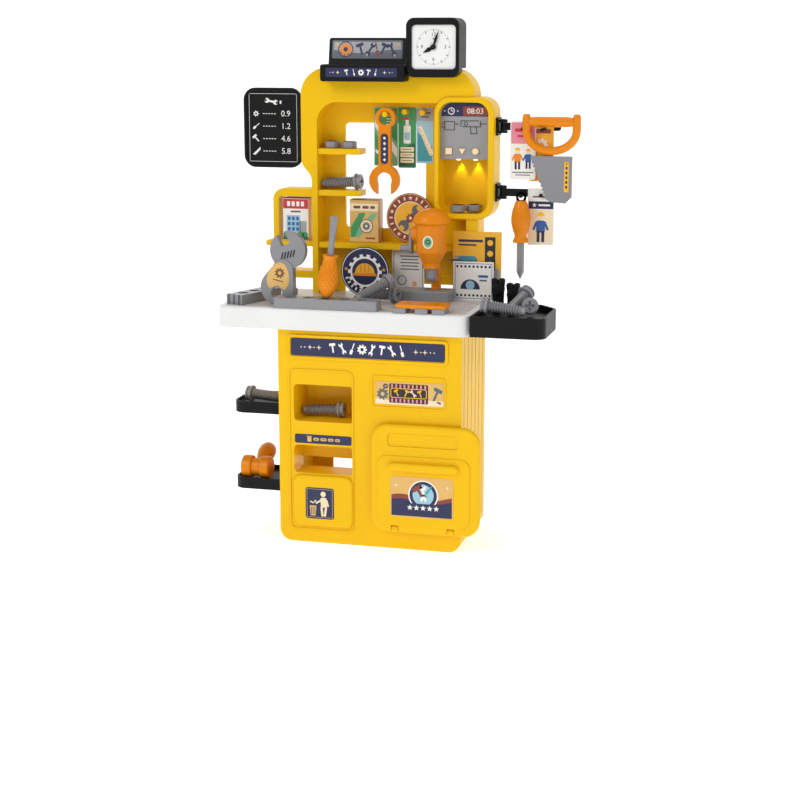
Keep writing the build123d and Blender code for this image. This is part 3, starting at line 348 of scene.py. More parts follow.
def spread_from(start):
    """All vertices joined to the given ones."""
    seen, queue = set(start), list(start)
    while queue:
        for edge in queue.pop().link_edges:
            for vert in edge.verts:
                if vert not in seen:
                    seen.add(vert)
                    queue.append(vert)
    return list(seen)


def at(x, y, z, *turns):
    """A place in millimetres, then turns in degrees such as ("Z", 30)."""
    matrix = Matrix.Translation((x, y, z))
    for axis, degrees in turns:
        matrix = matrix @ Matrix.Rotation(math.radians(degrees), 4, axis)
    return matrix


TO_METRES = Matrix.Scale(MM, 4)


class Print:
    """A printed sheet: thin plates of ink on a card, drawn right and up from its middle, in mm."""
    LIFT = 0.07

    def __init__(self, name, middle, lean=0.0, turn=0.0, roll=0.0):
        self.name, self.bm, self.used = name, bmesh.new(), []
        self.place = at(*middle, ("Z", turn), ("X", 90 - lean), ("Z", roll))

    def press(self, faces, colour, spot, layer, height):
        """Give flat faces a thickness and set them on the sheet."""
        if colour not in self.used:
            self.used.append(colour)
        flat = list({v for f in faces for v in f.verts})
        grown = bmesh.ops.extrude_face_region(self.bm, geom=faces, use_keep_orig=True)["geom"]
        top = verts_of(grown)
        bmesh.ops.translate(self.bm, verts=top, vec=(0, 0, height))
        lifted = Matrix.Translation((0, 0, (layer - 1) * self.LIFT)) @ spot
        bmesh.ops.transform(self.bm, matrix=self.place @ lifted, verts=flat + top)
        for face in {f for v in flat + top for f in v.link_faces}:
            face.material_index = self.used.index(colour)

    def shape(self, points, colour, spot=(0, 0), turn=0, layer=1, height=LIFT):
        """A closed outline of (right, up) points."""
        face = self.bm.faces.new([self.bm.verts.new((x, y, 0)) for x, y in points])
        self.press([face], colour, at(*spot, 0, ("Z", turn)), layer, height)

    def bar(self, width, tall, colour, spot=(0, 0), turn=0, round_by=0, layer=1, height=LIFT):
        """A rectangle, its corners rounded if asked."""
        half_w, half_t = width / 2, tall / 2
        points = ((-half_w, -half_t), (half_w, -half_t), (half_w, half_t), (-half_w, half_t))
        corners = [self.bm.verts.new((x, y, 0)) for x, y in points]
        face = self.bm.faces.new(corners)
        if round_by:
            made = bmesh.ops.bevel(
                self.bm, geom=corners, offset=round_by, segments=6, profile=0.5,
                affect="VERTICES", material=-1,
            )
            touched = {f for v in made["verts"] for f in v.link_faces}
            face = max(touched, key=lambda f: f.calc_area())
        self.press([face], colour, at(*spot, 0, ("Z", turn)), layer, height)

    def disc(self, radius, colour, spot=(0, 0), layer=1, height=LIFT, sides=40, turn=0):
        """A disc, or a regular polygon with few sides."""
        rim = bmesh.ops.create_circle(
            self.bm, cap_ends=True, segments=sides, radius=radius
        )["verts"]
        self.press(list(rim[0].link_faces), colour, at(*spot, 0, ("Z", turn)), layer, height)

    def oval(self, half_width, half_tall, colour, layer=1, height=LIFT, sides=40):
        """An upright oval."""
        around = [math.tau * step / sides for step in range(sides)]
        points = [(half_width * math.cos(a), half_tall * math.sin(a)) for a in around]
        self.shape(points, colour, layer=layer, height=height)

    def ring(self, outer, inner, colour, spot=(0, 0), layer=1, height=LIFT, sides=48):
        """A flat ring."""
        loops = [
            bmesh.ops.create_circle(self.bm, segments=sides, radius=radius)["verts"]
            for radius in (outer, inner)
        ]
        edges = list({e for loop in loops for v in loop for e in v.link_edges})
        faces = bmesh.ops.bridge_loops(self.bm, edges=edges)["faces"]
        self.press(faces, colour, at(*spot, 0), layer, height)

    def outline(self, width, tall, colour, spot=(0, 0), line=0.6, layer=1):
        """A thin rectangular border."""
        across, up = spot
        for side in (-1, 1):
            self.bar(width, line, colour, (across, up + side * (tall - line) / 2), layer=layer)
            self.bar(line, tall - 2 * line, colour, (across + side * (width - line) / 2, up),
                     layer=layer)

    def star(self, count, outer, inner, colour, spot=(0, 0), turn=0, layer=1):
        """A star with count points."""
        points = []
        for step in range(2 * count):
            reach = outer if step % 2 == 0 else inner
            angle = math.pi * step / count + math.pi / 2
            points.append((reach * math.cos(angle), reach * math.sin(angle)))
        self.shape(points, colour, spot, turn, layer)

    def gear(self, radius, colour, spot=(0, 0), hub=None, teeth=9, layer=1):
        """A toothed wheel with a hub of another colour."""
        for tooth in range(teeth):
            angle = math.tau * tooth / teeth
            self.bar(radius * 0.36, radius * 0.4, colour, (
                spot[0] + radius * 0.9 * math.cos(angle), spot[1] + radius * 0.9 * math.sin(angle)
            ), math.degrees(angle) + 90, 0, layer)
        self.disc(radius * 0.82, colour, spot, layer + 1, self.LIFT)
        if hub:
            self.disc(radius * 0.38, hub, spot, layer + 2, self.LIFT)

    def sector(self, outer, start, end, colour, spot=(0, 0), layer=1, steps=24):
        """A slice of a disc between two angles in degrees."""
        sweep = [math.radians(start + (end - start) * i / steps) for i in range(steps + 1)]
        rim = [(outer * math.cos(a), outer * math.sin(a)) for a in sweep]
        points = rim if abs(end - start) >= 180 else rim + [(0.0, 0.0)]
        self.shape(points, colour, spot, 0, layer)

    def wave(self, width, low, high, swing, colour, spot=(0, 0), layer=1, phase=0.0):
        """A band with a wavy upper edge."""
        steps = 28
        crest = []
        for i in range(steps + 1):
            x = width / 2 - width * i / steps
            crest.append((x, high + swing * math.sin(math.tau * i / steps + phase)))
        self.shape([(-width / 2, low), (width / 2, low)] + crest, colour, spot, 0, layer)

    def figures(self, text, tall, colour, spot=(0, 0), turn=0, layer=1):
        """Numerals, centred on a spot."""
        curve = bpy.data.curves.new("numerals", "FONT")
        curve.body, curve.size = text, tall * 1.4
        curve.align_x, curve.align_y = "CENTER", "CENTER"
        curve.resolution_u = 3
        curve.extrude = self.LIFT / 2
        holder = bpy.data.objects.new("numerals", curve)
        bpy.context.scene.collection.objects.link(holder)
        bpy.context.view_layer.update()
        mesh = bpy.data.meshes.new_from_object(holder)
        bpy.data.objects.remove(holder)
        lifted = at(*spot, (layer - 0.5) * self.LIFT, ("Z", turn))
        mesh.transform(self.place @ lifted)
        before = len(self.bm.faces)
        self.bm.from_mesh(mesh)
        self.bm.faces.ensure_lookup_table()
        if colour not in self.used:
            self.used.append(colour)
        for index in range(before, len(self.bm.faces)):
            self.bm.faces[index].material_index = self.used.index(colour)
        bpy.data.meshes.remove(mesh)

    def hammer(self, size, colour, spot=(0, 0), turn=0, layer=1):
        """A hammer, size tall."""
        tilt = Matrix.Rotation(math.radians(turn), 2)
        head = tilt @ Vector((0, size * 0.36))
        self.bar(size * 0.16, size * 0.9, colour, spot, turn, 0, layer)
        self.bar(size * 0.62, size * 0.26, colour, (spot[0] + head.x, spot[1] + head.y), turn,
                 size * 0.06, layer + 1)

    def spanner(self, size, colour, gap, spot=(0, 0), turn=0, layer=1):
        """A spanner with two open ends, size long; gap is the colour that shows in its jaws."""
        along = Matrix.Rotation(math.radians(turn), 2) @ Vector((0, size * 0.38))
        self.bar(size * 0.16, size * 0.8, colour, spot, turn, 0, layer)
        for side in (-1, 1):
            end = (spot[0] + side * along.x, spot[1] + side * along.y)
            mouth = (spot[0] + side * along.x * 1.3, spot[1] + side * along.y * 1.3)
            self.disc(size * 0.2, colour, end, layer + 1)
            self.disc(size * 0.11, gap, mouth, layer + 2, sides=6, turn=turn)

    def driver(self, size, colour, spot=(0, 0), turn=0, layer=1):
        """A screwdriver, size long."""
        along = Matrix.Rotation(math.radians(turn), 2) @ Vector((0, size * 0.28))
        self.bar(size * 0.26, size * 0.46, colour, (spot[0] - along.x, spot[1] - along.y), turn,
                 size * 0.1, layer)
        self.bar(size * 0.1, size * 0.56, colour, (spot[0] + along.x, spot[1] + along.y), turn,
                 0, layer)

    def done(self, body, slot, *replaced):
        """Close the print and hand it over as a piece."""
        bmesh.ops.transform(self.bm, matrix=TO_METRES, verts=self.bm.verts)
        mesh_inks = [ink(colour) for colour in self.used]
        return add_piece(self.name, self.bm, mesh_inks, body, replaced, smooth=30)


# Labels on the cabinet and the crest ---------------------------------------------------------

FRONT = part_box("cabinet_left_side")[0].y / MM - 3.0
LABEL = 0.45                        # thickness of a stuck-on label


def sign_label():
    """The long sign under the worktop: a row of tool shapes between stars and dots."""
    sign = Print("sign_label", (-1.75, FRONT, 239.5))
    sign.bar(187.5, 21, "navy", round_by=3, height=LABEL)
    sign.place = sign.place @ Matrix.Translation((0, 0, LABEL - 0.03))
    shapes = (
        (-42, sign.hammer, 12, 8), (-30, None, 0, 0), (-18, sign.driver, 13, -20),
        (18, sign.hammer, 12, -8), (42, sign.driver, 13, 15),
    )
    for x, draw, size, turn in shapes:
        if draw:
            draw(size, "white", (x, 0), turn, 1)
    for x, turn in ((-30, 28), (6, -20), (30, 30)):
        sign.spanner(13, "white", "navy", (x, 0), turn)
    sign.gear(5.4, "white", (-6, 0), "navy")
    for side in (-1, 1):
        sign.star(4, 3.4, 0.9, "cream", (side * 59, 0))
        sign.star(4, 3.4, 0.9, "cream", (side * 70, 0))
        for x in (65, 76.5, 81):
            sign.disc(0.8, "cream", (side * x, 0), sides=14)
    return sign.done("root", "navy_label", "printed_labels")


def crest_label():
    """The small sign on the tray that holds the picture board."""
    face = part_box("sign_tray")[0].y / MM
    crest = Print("crest_label", (-34.8, face, 556.5))
    crest.bar(88.4, 11, "navy", round_by=1.5, height=LABEL)
    crest.place = crest.place @ Matrix.Translation((0, 0, LABEL - 0.03))
    for x, draw in ((-18, crest.hammer), (-9, crest.driver), (9, crest.hammer), (18, crest.driver)):
        draw(7.2, "white", (x, 0), -12 if x > 0 else 12)
    crest.gear(3.4, "white", (0, 0), "navy")
    for side in (-1, 1):
        crest.star(4, 2.4, 0.7, "cream", (side * 29, 0))
        crest.disc(0.7, "cream", (side * 35, 0), sides=14)
        crest.disc(0.5, "cream", (side * 38.5, 0), sides=14)
    return crest.done("root", "navy_label", "printed_labels")


def toolbox_label():
    """Striped label above the storage door."""
    label = Print("toolbox_label", (49.7, FRONT, 189.5))
    label.bar(82.6, 27, "tan", round_by=2, height=LABEL)
    label.place = label.place @ Matrix.Translation((0, 0, LABEL - 0.03))
    label.wave(82.6, -13.5, -8.0, 1.4, "cream", phase=0.8)
    label.bar(47, 23, "black", (-1, 0), round_by=1.5, layer=2)
    for stripe in range(9):
        x = -21 + 5 * stripe
        label.bar(2.2, 4.4, "pink", (x, 8.6), layer=3)
        label.bar(2.2, 4.4, "pink", (x, -8.6), layer=3)
    label.bar(44, 11.6, "yellow", (-1, 0.4), round_by=2.4, layer=4)
    label.bar(42, 9.8, "black", (-1, 0.4), round_by=2, layer=5)
    for x, turn in ((-15, 25), (-4, -25), (13, 20)):
        label.hammer(8.6, "yellow", (x, 0.2), turn, 6)
    label.spanner(9.5, "cream", "black", (4.5, 0.4), 40, 6)
    label.gear(6.4, "slate", (-32.5, -1.5), "tan", layer=2)
    label.gear(3.0, "navy", (-29, 8), "tan", layer=2)
    label.hammer(17, "slate", (32, 0), -24, 2)
    label.bar(5, 2.2, "rust", (35.5, -9), -24, 0.8, 4)
    return label.done("root", "navy_label", "printed_labels")


def bin_labels():
    """The strip above the waste flap and the square sign on the bin's front."""
    strip = Print("waste_strip", (-56.8, FRONT, 128.0))
    strip.bar(70.4, 11, "navy", round_by=2, height=LABEL)
    strip.place = strip.place @ Matrix.Translation((0, 0, LABEL - 0.03))
    strip.bar(5, 5.6, "tan", (-17, -0.6), round_by=0.8)
    strip.bar(6.6, 1.0, "tan", (-17, 3.0))
    for x, width in ((-8.5, 7), (0.5, 7.5), (9.5, 7), (18, 6)):
        strip.bar(width, 3.6, "tan", (x, 0), round_by=1.6)
        strip.bar(width - 3, 0.9, "navy", (x, 0), layer=2)
    first = strip.done("root", "navy_label", "printed_labels")

    sign = Print("bin_sign", (-60.3, FRONT - 4.5, 50.15))
    sign.bar(35.4, 38.3, "navy", round_by=3, height=LABEL)
    sign.place = sign.place @ Matrix.Translation((0, 0, LABEL - 0.03))
    sign.outline(32.2, 35.1, "tan", line=0.4)
    sign.disc(3.3, "cream", (4.4, 11.6), sides=24)
    sign.bar(7.6, 12.2, "cream", (5.0, 1.4), 4, 2.4, 1)
    for leg_x, turn in ((2.8, 6), (7.2, -8)):
        sign.bar(2.8, 12.6, "cream", (leg_x, -9.8), turn, 1.2, 2)
    sign.bar(2.2, 10.4, "cream", (-0.6, 2.6), -58, 1.0, 2)
    sign.bar(2.2, 9.0, "cream", (9.6, 0.6), 14, 1.0, 2)
    sign.shape(((-12.6, -3), (-4.2, -3), (-5.2, -15.4), (-11.6, -15.4)), "tan")
    for x in (-10.6, -8.4, -6.2):
        sign.bar(0.8, 9.6, "navy", (x, -9.4), layer=2)
    for x, z, turn in ((-8.2, 0.8, 20), (-5.6, 2.8, 60), (-10.8, 1.6, -30)):
        sign.bar(2.4, 1.7, "cream", (x, z), turn, 0, 2)
    second = sign.done("root", "navy_label", "printed_labels")
    return first, second


def door_label():
    """The storage door's label: a sky, a hill, a navy ground and a round tool emblem."""
    low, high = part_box("door_label")
    middle = (low + high) / (2 * MM)
    width, tall = (high.x - low.x) / MM, (high.z - low.z) / MM
    label = Print("storage_label", (middle.x, high.y / MM, middle.z))
    label.bar(width, tall, "tan", round_by=5, height=LABEL)
    label.place = label.place @ Matrix.Translation((0, 0, LABEL - 0.03))
    label.wave(width - 3.5, -tall / 2 + 2, 0.5, 3.2, "rust", layer=1, phase=2.6)
    label.wave(width - 3.5, -tall / 2 + 1.6, -4.6, 2.6, "navy", layer=2, phase=2.6)
    label.disc(18.2, "white", (2, 3.2), layer=3)
    label.disc(16.6, "navy", (2, 3.2), layer=4)
    label.disc(12.8, "sky", (2, 3.2), layer=5)
    label.hammer(21, "rust", (-1.5, 5), 30, 6)
    label.driver(21, "teal", (5.5, 5), -34, 6)
    label.spanner(19, "white", "sky", (2, 5.5), 2, 6)
    label.bar(46, 10.4, "navy", (2, -12.4), round_by=3.0, layer=9)
    for x in (-16, -8, 0, 8, 16):
        label.star(5, 3.6, 1.6, "white", (2 + x, -12.3), layer=10)
    for side in (-1, 1):
        label.star(4, 2.6, 0.8, "cream", (side * 31, 14), layer=1)
    return label.done("door", "navy_label", "door_label")


# Boards on the frame -------------------------------------------------------------------------

MENU_FACE_Y = 58.5


def menu_art():
    """Chalked list on the menu board: a border, a heading shape and four priced rows."""
    art = Print("menu_art", (-156.5, MENU_FACE_Y, 488.5))
    art.outline(62, 83, "chalk", line=0.45)
    art.spanner(15, "chalk", "black", (-2, 32), 78, 1)
    art.bar(2.2, 4, "chalk", (10, 31), round_by=0.8)
    for row, price in enumerate(("0.9", "1.2", "4.6", "5.8")):
        z = 17 - 15.2 * row
        if row == 0:
            art.gear(3.2, "chalk", (-22, z), "black", teeth=7)
        elif row == 1:
            art.driver(10, "chalk", (-22, z), -50)
        elif row == 2:
            art.hammer(10, "chalk", (-22, z), 42)
        else:
            art.shape(((-27, z - 4), (-17, z + 5), (-17, z + 1.5), (-24, z - 5)), "chalk")
        for dash in range(5):
            art.bar(2.2, 0.9, "chalk", (-12 + 3.6 * dash, z))
        art.figures(price, 7.2, "chalk", (16.5, z), layer=1)
    return art.done("root", "black_plastic")


def picture_art():
    """The picture panel that leans in the sign tray."""
    low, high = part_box("picture_board")
    middle_x = (low.x + high.x) / (2 * MM)
    lean = math.degrees(math.atan2(6.0, 33.0))
    art = Print("picture_art", (middle_x, 55.25, 581.8), lean=lean)
    art.bar(88, 22, "slate", (0, 1.5), round_by=2, height=0.3)
    art.place = art.place @ Matrix.Translation((0, 0, 0.26))
    art.bar(84, 18, "grey", (0, 1.5), round_by=1.5)
    art.wave(84, -7.5, -1.0, 2.0, "slate", layer=2, phase=1.0)
    art.gear(7.2, "orange", (-27, 1.5), "navy", layer=3)
    art.ring(9.4, 8.3, "navy", (-27, 1.5), layer=3)
    for x, turn in ((-8, 18), (20, -24)):
        art.hammer(15, "navy", (x, 1.5), turn, 3)
    art.spanner(16, "navy", "grey", (4, 1.5), -32, 3)
    art.driver(16, "rust", (12, 1.5), 12, 3)
    art.spanner(16, "navy", "grey", (31, 1.5), 25, 3)
    for x in (-38, 38.5):
        art.star(4, 3, 0.9, "yellow", (x, 7), layer=3)
    return art.done("root", "printed_card")


def dial():
    """The white clock face with its numerals and minute marks."""
    face = Print("dial_face", (52.1, 38.5, 586.25))
    face.bar(53.6, 51.3, "dial", round_by=5, height=1.2)
    face.place = face.place @ Matrix.Translation((-0.4, 0.15, 1.17))
    for minute in range(60):
        angle = math.radians(90 - 6 * minute)
        hour = minute % 5 == 0
        reach = 19.4 if hour else 20.2
        face.bar(0.9 if hour else 0.35, 3.0 if hour else 1.4, "black",
                 (reach * math.cos(angle), reach * math.sin(angle)), -6 * minute)
    for number in range(3, 13, 3):
        angle = math.radians(90 - 30 * number)
        face.figures(str(number), 4.4, "black", (14.2 * math.cos(angle), 14.2 * math.sin(angle)))
    face.disc(0.9, "slate", (0, 9.5), sides=16)
    face.ring(4.2, 3.8, "grey")
    hub = bmesh.ops.create_cone(
        face.bm, cap_ends=True, segments=28, radius1=1.5, radius2=1.2, depth=2.8,
        matrix=at(51.7, 35.8, 586.4, ("X", 90)),
    )["verts"]
    for made in {f for v in hub for f in v.link_faces}:
        made.material_index = face.used.index("black")
    return face.done("root", "dial_white", "clock_dial")


def control_panel():
    """Header with a clock shape and numerals, and the panel's line drawing above the buttons."""
    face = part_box("control_box")[0].y / MM
    art = Print("control_art", (86.15, face, 495.0))
    rim = 15
    header = [(-29, 10.2), (29, 10.2), (29, 26.4 - rim)]
    for side in (1, -1):
        for step in range(9):
            angle = math.radians(step * 11.25 if side > 0 else 90 + step * 11.25)
            header.append((side * (29 - rim) + rim * math.cos(angle), 11.4 + rim * math.sin(angle)))
    header.append((-29, 26.4 - rim))
    art.shape(header, "navy", height=0.3)
    art.place = art.place @ Matrix.Translation((0, 0, 0.26))
    art.bar(30, 11, "rust", (12.5, 16.4), round_by=1.6, height=0.1)
    art.figures("08:03", 6.6, "white", (12.5, 16.2), layer=3)
    art.ring(4.2, 3.2, "white", (-17, 16.4))
    art.bar(0.9, 3.2, "white", (-17, 17.6))
    art.bar(2.6, 0.9, "white", (-16, 16.4))
    for x in (-25, -9):
        art.disc(0.8, "white", (x, 16.4), sides=12)
    lines = (
        (12, 0.8, -19, 4, 0), (12, 0.8, -19, -6, 0), (0.8, 10, -25, -1, 0), (0.8, 10, -13, -1, 0),
        (5, 0.8, -27, 2, 35), (5, 0.8, -27, -3, -35), (22, 0.8, 6, 5, 0), (22, 0.8, 8, -2, 0),
        (0.8, 7, -5, 1.5, 0), (0.8, 7, 19, 1.5, 0), (9, 0.8, 22, 1.5, 0), (0.8, 9, 7, -6, 8),
        (0.8, 9, 14, -6, 8), (8, 0.8, 10, -10.2, 0), (6, 0.8, -10, 1, 0),
    )
    for width, tall, x, z, turn in lines:
        art.bar(width, tall, "black", (x, z), turn)
    art.ring(2.4, 1.7, "black", (1, 1.5))
    return art.done("root", "panel_grey")


# Cards ----------------------------------------------------------------------------------------

CARD = 0.6                          # thickness of a loose card


def card(name, middle, width, tall, colour, round_by=2.0, **turns):
    """Start a loose card of one colour."""
    sheet = Print(name, middle, **turns)
    sheet.bar(width, tall, colour, round_by=round_by, height=CARD)
    sheet.place = sheet.place @ Matrix.Translation((0, 0, CARD - 0.03))
    return sheet


def peg_cards():
    """Three printed cards behind the frame's pegs."""
    green = card("peg_card_green", (-18, 80, 478.5), 30, 71, "leaf")
    green.shape(((-14, -34), (8, -34), (-14, 6)), "green")
    green.shape(((-14, 12), (14, -26), (14, -14), (-14, 24)), "white")
    green.shape(((-14, 28), (14, -8), (14, 34), (-14, 34)), "green")
    for step in range(5):
        green.bar(9, 0.9, "white", (5, 28 - 3.2 * step), layer=2)
    green.spanner(22, "white", "green", (-5, -24), 30, 2)
    green.done("root", "printed_card", "printed_cards")

    middle = card("peg_card_spray", (8.75, 80, 477.5), 22.5, 73, "green")
    middle.shape(((-10, -35), (10, -35), (10, -6), (-10, -14)), "dark_green")
    middle.bar(9, 22, "white", (0, 4), round_by=2, layer=2)
    middle.bar(4, 7, "white", (0, 18), layer=2)
    middle.bar(9, 3, "red", (-2, 23), 8, 0.8, 3)
    middle.bar(7, 9, "sky", (0, 2), round_by=1, layer=3)
    for step in range(3):
        middle.bar(17, 5.4, "cream", (0, -14 - 6.8 * step), round_by=0.8, layer=2)
        middle.bar(12, 0.8, "dark_green", (0, -14 - 6.8 * step), layer=3)
    middle.done("root", "printed_card", "printed_cards")

    blue = card("peg_card_rule", (31, 80, 480.5), 21, 67, "sky")
    blue.bar(21, 15, "grey", (0, 25), round_by=1.5)
    blue.bar(15, 3, "slate", (0, 27), layer=2)
    blue.bar(10, 2, "slate", (0, 22.5), layer=2)
    blue.shape(((-9, -31), (9, -31), (9, -14), (-9, 4)), "teal")
    blue.bar(5.4, 38, "cream", (1, -6), 24, 0.6, 2)
    tilt = Matrix.Rotation(math.radians(24), 2)
    for step in range(12):
        mark = tilt @ Vector((-1.4, -17 + 3 * step))
        blue.bar(2.2 if step % 2 else 3.2, 0.4, "navy", (1 + mark.x, -6 + mark.y), 24, 0, 3)
    blue.done("root", "printed_card", "printed_cards")


def badges():
    """The two round badges: a spanner and a helmet."""
    brown = Print("spanner_badge", (15.1, 73, 380.5))
    brown.disc(30.5, "rust", height=1.6, sides=64)
    brown.place = brown.place @ Matrix.Translation((0, 0, 1.57))
    brown.ring(29.6, 28.6, "tan")
    brown.disc(19.5, "yellow")
    brown.ring(20.4, 19.3, "cream", layer=2)
    for step in range(17):
        angle = math.radians(18 + 18 * step)
        spot = (24.6 * math.cos(angle), 24.6 * math.sin(angle))
        if step % 4 == 0:
            brown.star(5, 3.0, 1.3, "cream", spot, math.degrees(angle) - 90)
        else:
            brown.bar(2.2, 4.6, "cream", spot, math.degrees(angle) - 90, 0.8)
    brown.spanner(34, "slate", "yellow", (0, 0), -42, 2)
    brown.gear(5, "rust", (0, 0), "cream", layer=5)
    brown.done("root", "printed_card", "printed_cards")

    navy = Print("helmet_badge", (-34.5, 42, 316.5))
    navy.disc(30.5, "navy", height=1.6, sides=64)
    navy.place = navy.place @ Matrix.Translation((0, 0, 1.57))
    navy.ring(29.4, 28.5, "white")
    for tooth in range(14):
        angle = math.tau * tooth / 14
        navy.bar(4.4, 4.0, "white", (19.5 * math.cos(angle), 19.5 * math.sin(angle)),
                 math.degrees(angle) + 90)
    navy.disc(18.6, "white", layer=2)
    navy.disc(16.2, "navy", layer=3)
    navy.sector(12.5, 0, 180, "yellow", (0, -2), 4)
    navy.bar(30, 3.4, "orange", (0, -3.4), round_by=1.6, layer=5)
    for x in (-5, 0, 5):
        navy.bar(2.0, 11 - abs(x) * 0.5, "orange", (x, 4.4), round_by=0.9, layer=5)
    for step in range(11):
        angle = math.radians(200 + 14 * step)
        navy.bar(2.2, 4.2, "white", (24.2 * math.cos(angle), 24.2 * math.sin(angle)),
                 math.degrees(angle) - 90, 0.8)
    for x in (-24, 24):
        navy.star(5, 2.6, 1.1, "yellow", (x, 3), layer=1)
    navy.done("root", "printed_card", "printed_cards")


def bench_cards():
    """The three cards that stand on the worktop."""
    plan = card("plan_card", (13.5, 66.8, 314), 41, 56, "white", round_by=1.0)
    plan.outline(37, 52, "navy", line=0.6)
    for step in range(5):
        plan.bar(24 - 3 * (step % 2), 1.4, "slate", (2, 20 - 4 * step))
    plan.ring(6, 5, "blue", (-8, -10))
    plan.gear(3, "orange", (8, -14), "white", layer=1)
    plan.done("root", "printed_card", "printed_cards")

    poster = card("tool_poster", (104, 50, 327.5), 60, 83, "yellow", round_by=1.0)
    poster.shape(((-28, -39), (28, -39), (28, -4), (-28, 12)), "grey")
    poster.bar(13, 40, "black", (16, 15), 0, 1.2, 2)
    for z in (28, 15, 2):
        poster.disc(3.6, "yellow", (16, z), layer=3, sides=26)
    poster.bar(24, 11, "teal", (-12, 6), 0, 4, 3)
    poster.bar(7, 16, "teal", (-8, -5), -12, 2, 4)
    poster.bar(14, 2.6, "slate", (-28 + 2, 6), 0, 0.8, 4)
    poster.bar(30, 3, "navy", (-8, 30), layer=2)
    poster.bar(22, 2, "navy", (-12, 25), layer=2)
    poster.done("root", "printed_card", "printed_cards")

    ticket = card("ticket_card", (101, 44, 309.5), 50, 47, "white", round_by=1.0)
    ticket.outline(46, 43, "blue", line=0.7)
    for step in range(9):
        ticket.disc(1.5, "navy", (-20 + 5 * step, 17.5), sides=18)
        ticket.disc(1.5, "navy", (-20 + 5 * step, -17.5), sides=18)
    ticket.sector(12, 0, 180, "navy", (-4, -10), 1)
    ticket.disc(5.5, "sky", (-4, -5), layer=2)
    ticket.bar(12, 3, "blue", (12, 6), layer=1)
    ticket.bar(9, 2, "slate", (12, 1), layer=1)
    ticket.done("root", "printed_card", "printed_cards")


def figure(sheet, x, z, tall, coat, layer=2):
    """A plain worker shape in overalls and a helmet."""
    sheet.disc(tall * 0.11, "cream", (x, z + tall * 0.36), layer, sides=20)
    sheet.sector(tall * 0.13, 0, 180, "yellow", (x, z + tall * 0.39), layer + 1)
    sheet.bar(tall * 0.3, tall * 0.4, coat, (x, z + tall * 0.04), 0, tall * 0.06, layer)
    for side in (-1, 1):
        sheet.bar(tall * 0.1, tall * 0.36, "navy", (x + side * tall * 0.08, z - tall * 0.3),
                  layer=layer)
        sheet.bar(tall * 0.08, tall * 0.3, coat, (x + side * tall * 0.19, z + tall * 0.06),
                  side * 22, tall * 0.03, layer + 1)


def arm_cards():
    """Cards that hang on the swing arms' pegs."""
    front = card("arm_card_front", (155.5, 64.5, 465.5), 31, 69, "white", round_by=2.5)
    front.bar(29, 25, "pink", (0, 20.5), round_by=1.5)
    front.bar(20, 4, "red", (0, 24), layer=2, round_by=1.2)
    front.bar(14, 2.6, "red", (0, 17), layer=2, round_by=1.0)
    figure(front, -6.5, -10, 26, "orange", 1)
    figure(front, 6.5, -10, 24, "blue", 1)
    front.bar(26, 1.2, "slate", (0, -26), layer=1)
    front.bar(18, 1.2, "slate", (0, -29), layer=1)
    front.done("upper_arm", "printed_card", "upper_arm_cards")

    rear = card("arm_card_rear", (177.5, 66.5, 463.5), 29, 69, "yellow", round_by=2.5)
    rear.shape(((-13, -33), (13, -33), (13, 2), (-13, -12)), "orange")
    rear.bar(22, 5, "rust", (0, 25), layer=1, round_by=1.4)
    rear.gear(7, "white", (0, 9), "yellow", layer=1)
    rear.hammer(17, "navy", (0, -20), 24, 1)
    rear.done("upper_arm", "printed_card", "upper_arm_cards")

    lower = card("arm_card_low", (178, 66.5, 386.8), 32, 68.4, "white", round_by=2.5)
    lower.bar(30, 9, "navy", (0, 14), layer=1)
    lower.bar(30, 41, "cream", (0, -12), layer=1, round_by=1.5)
    lower.star(5, 3.0, 1.3, "white", (-8, 14), layer=2)
    lower.bar(14, 2.2, "white", (4, 14), layer=2)
    lower.bar(20, 2, "slate", (0, 24), layer=1)
    figure(lower, 0, -13, 36, "blue", 2)
    lower.done("lower_arm", "printed_card", "lower_arm_card")


# Cartons --------------------------------------------------------------------------------------

def carton(name, limits, shell, flap):
    """A folded carton: body and overlapping top flap, then a print on its front."""
    left, right, front, back, low, high = limits
    box = Print(name, ((left + right) / 2, front + 0.5, (low + high) / 2))
    rounded_box(
        box.bm, (right - left, back - front - 0.5, high - low - 0.8),
        at((left + right) / 2, (front + 0.5 + back) / 2, (low + high - 0.8) / 2), 0.5, 2,
    )
    lid = rounded_box(
        box.bm, (right - left - 0.6, back - front - 1.4, 0.8),
        at((left + right) / 2, (front + back) / 2 + 0.6, high - 0.5), 0.25, 2,
    )
    box.used += [shell, flap]
    for vert in lid:
        for face in vert.link_faces:
            face.material_index = 1
    return box, right - left, high - low


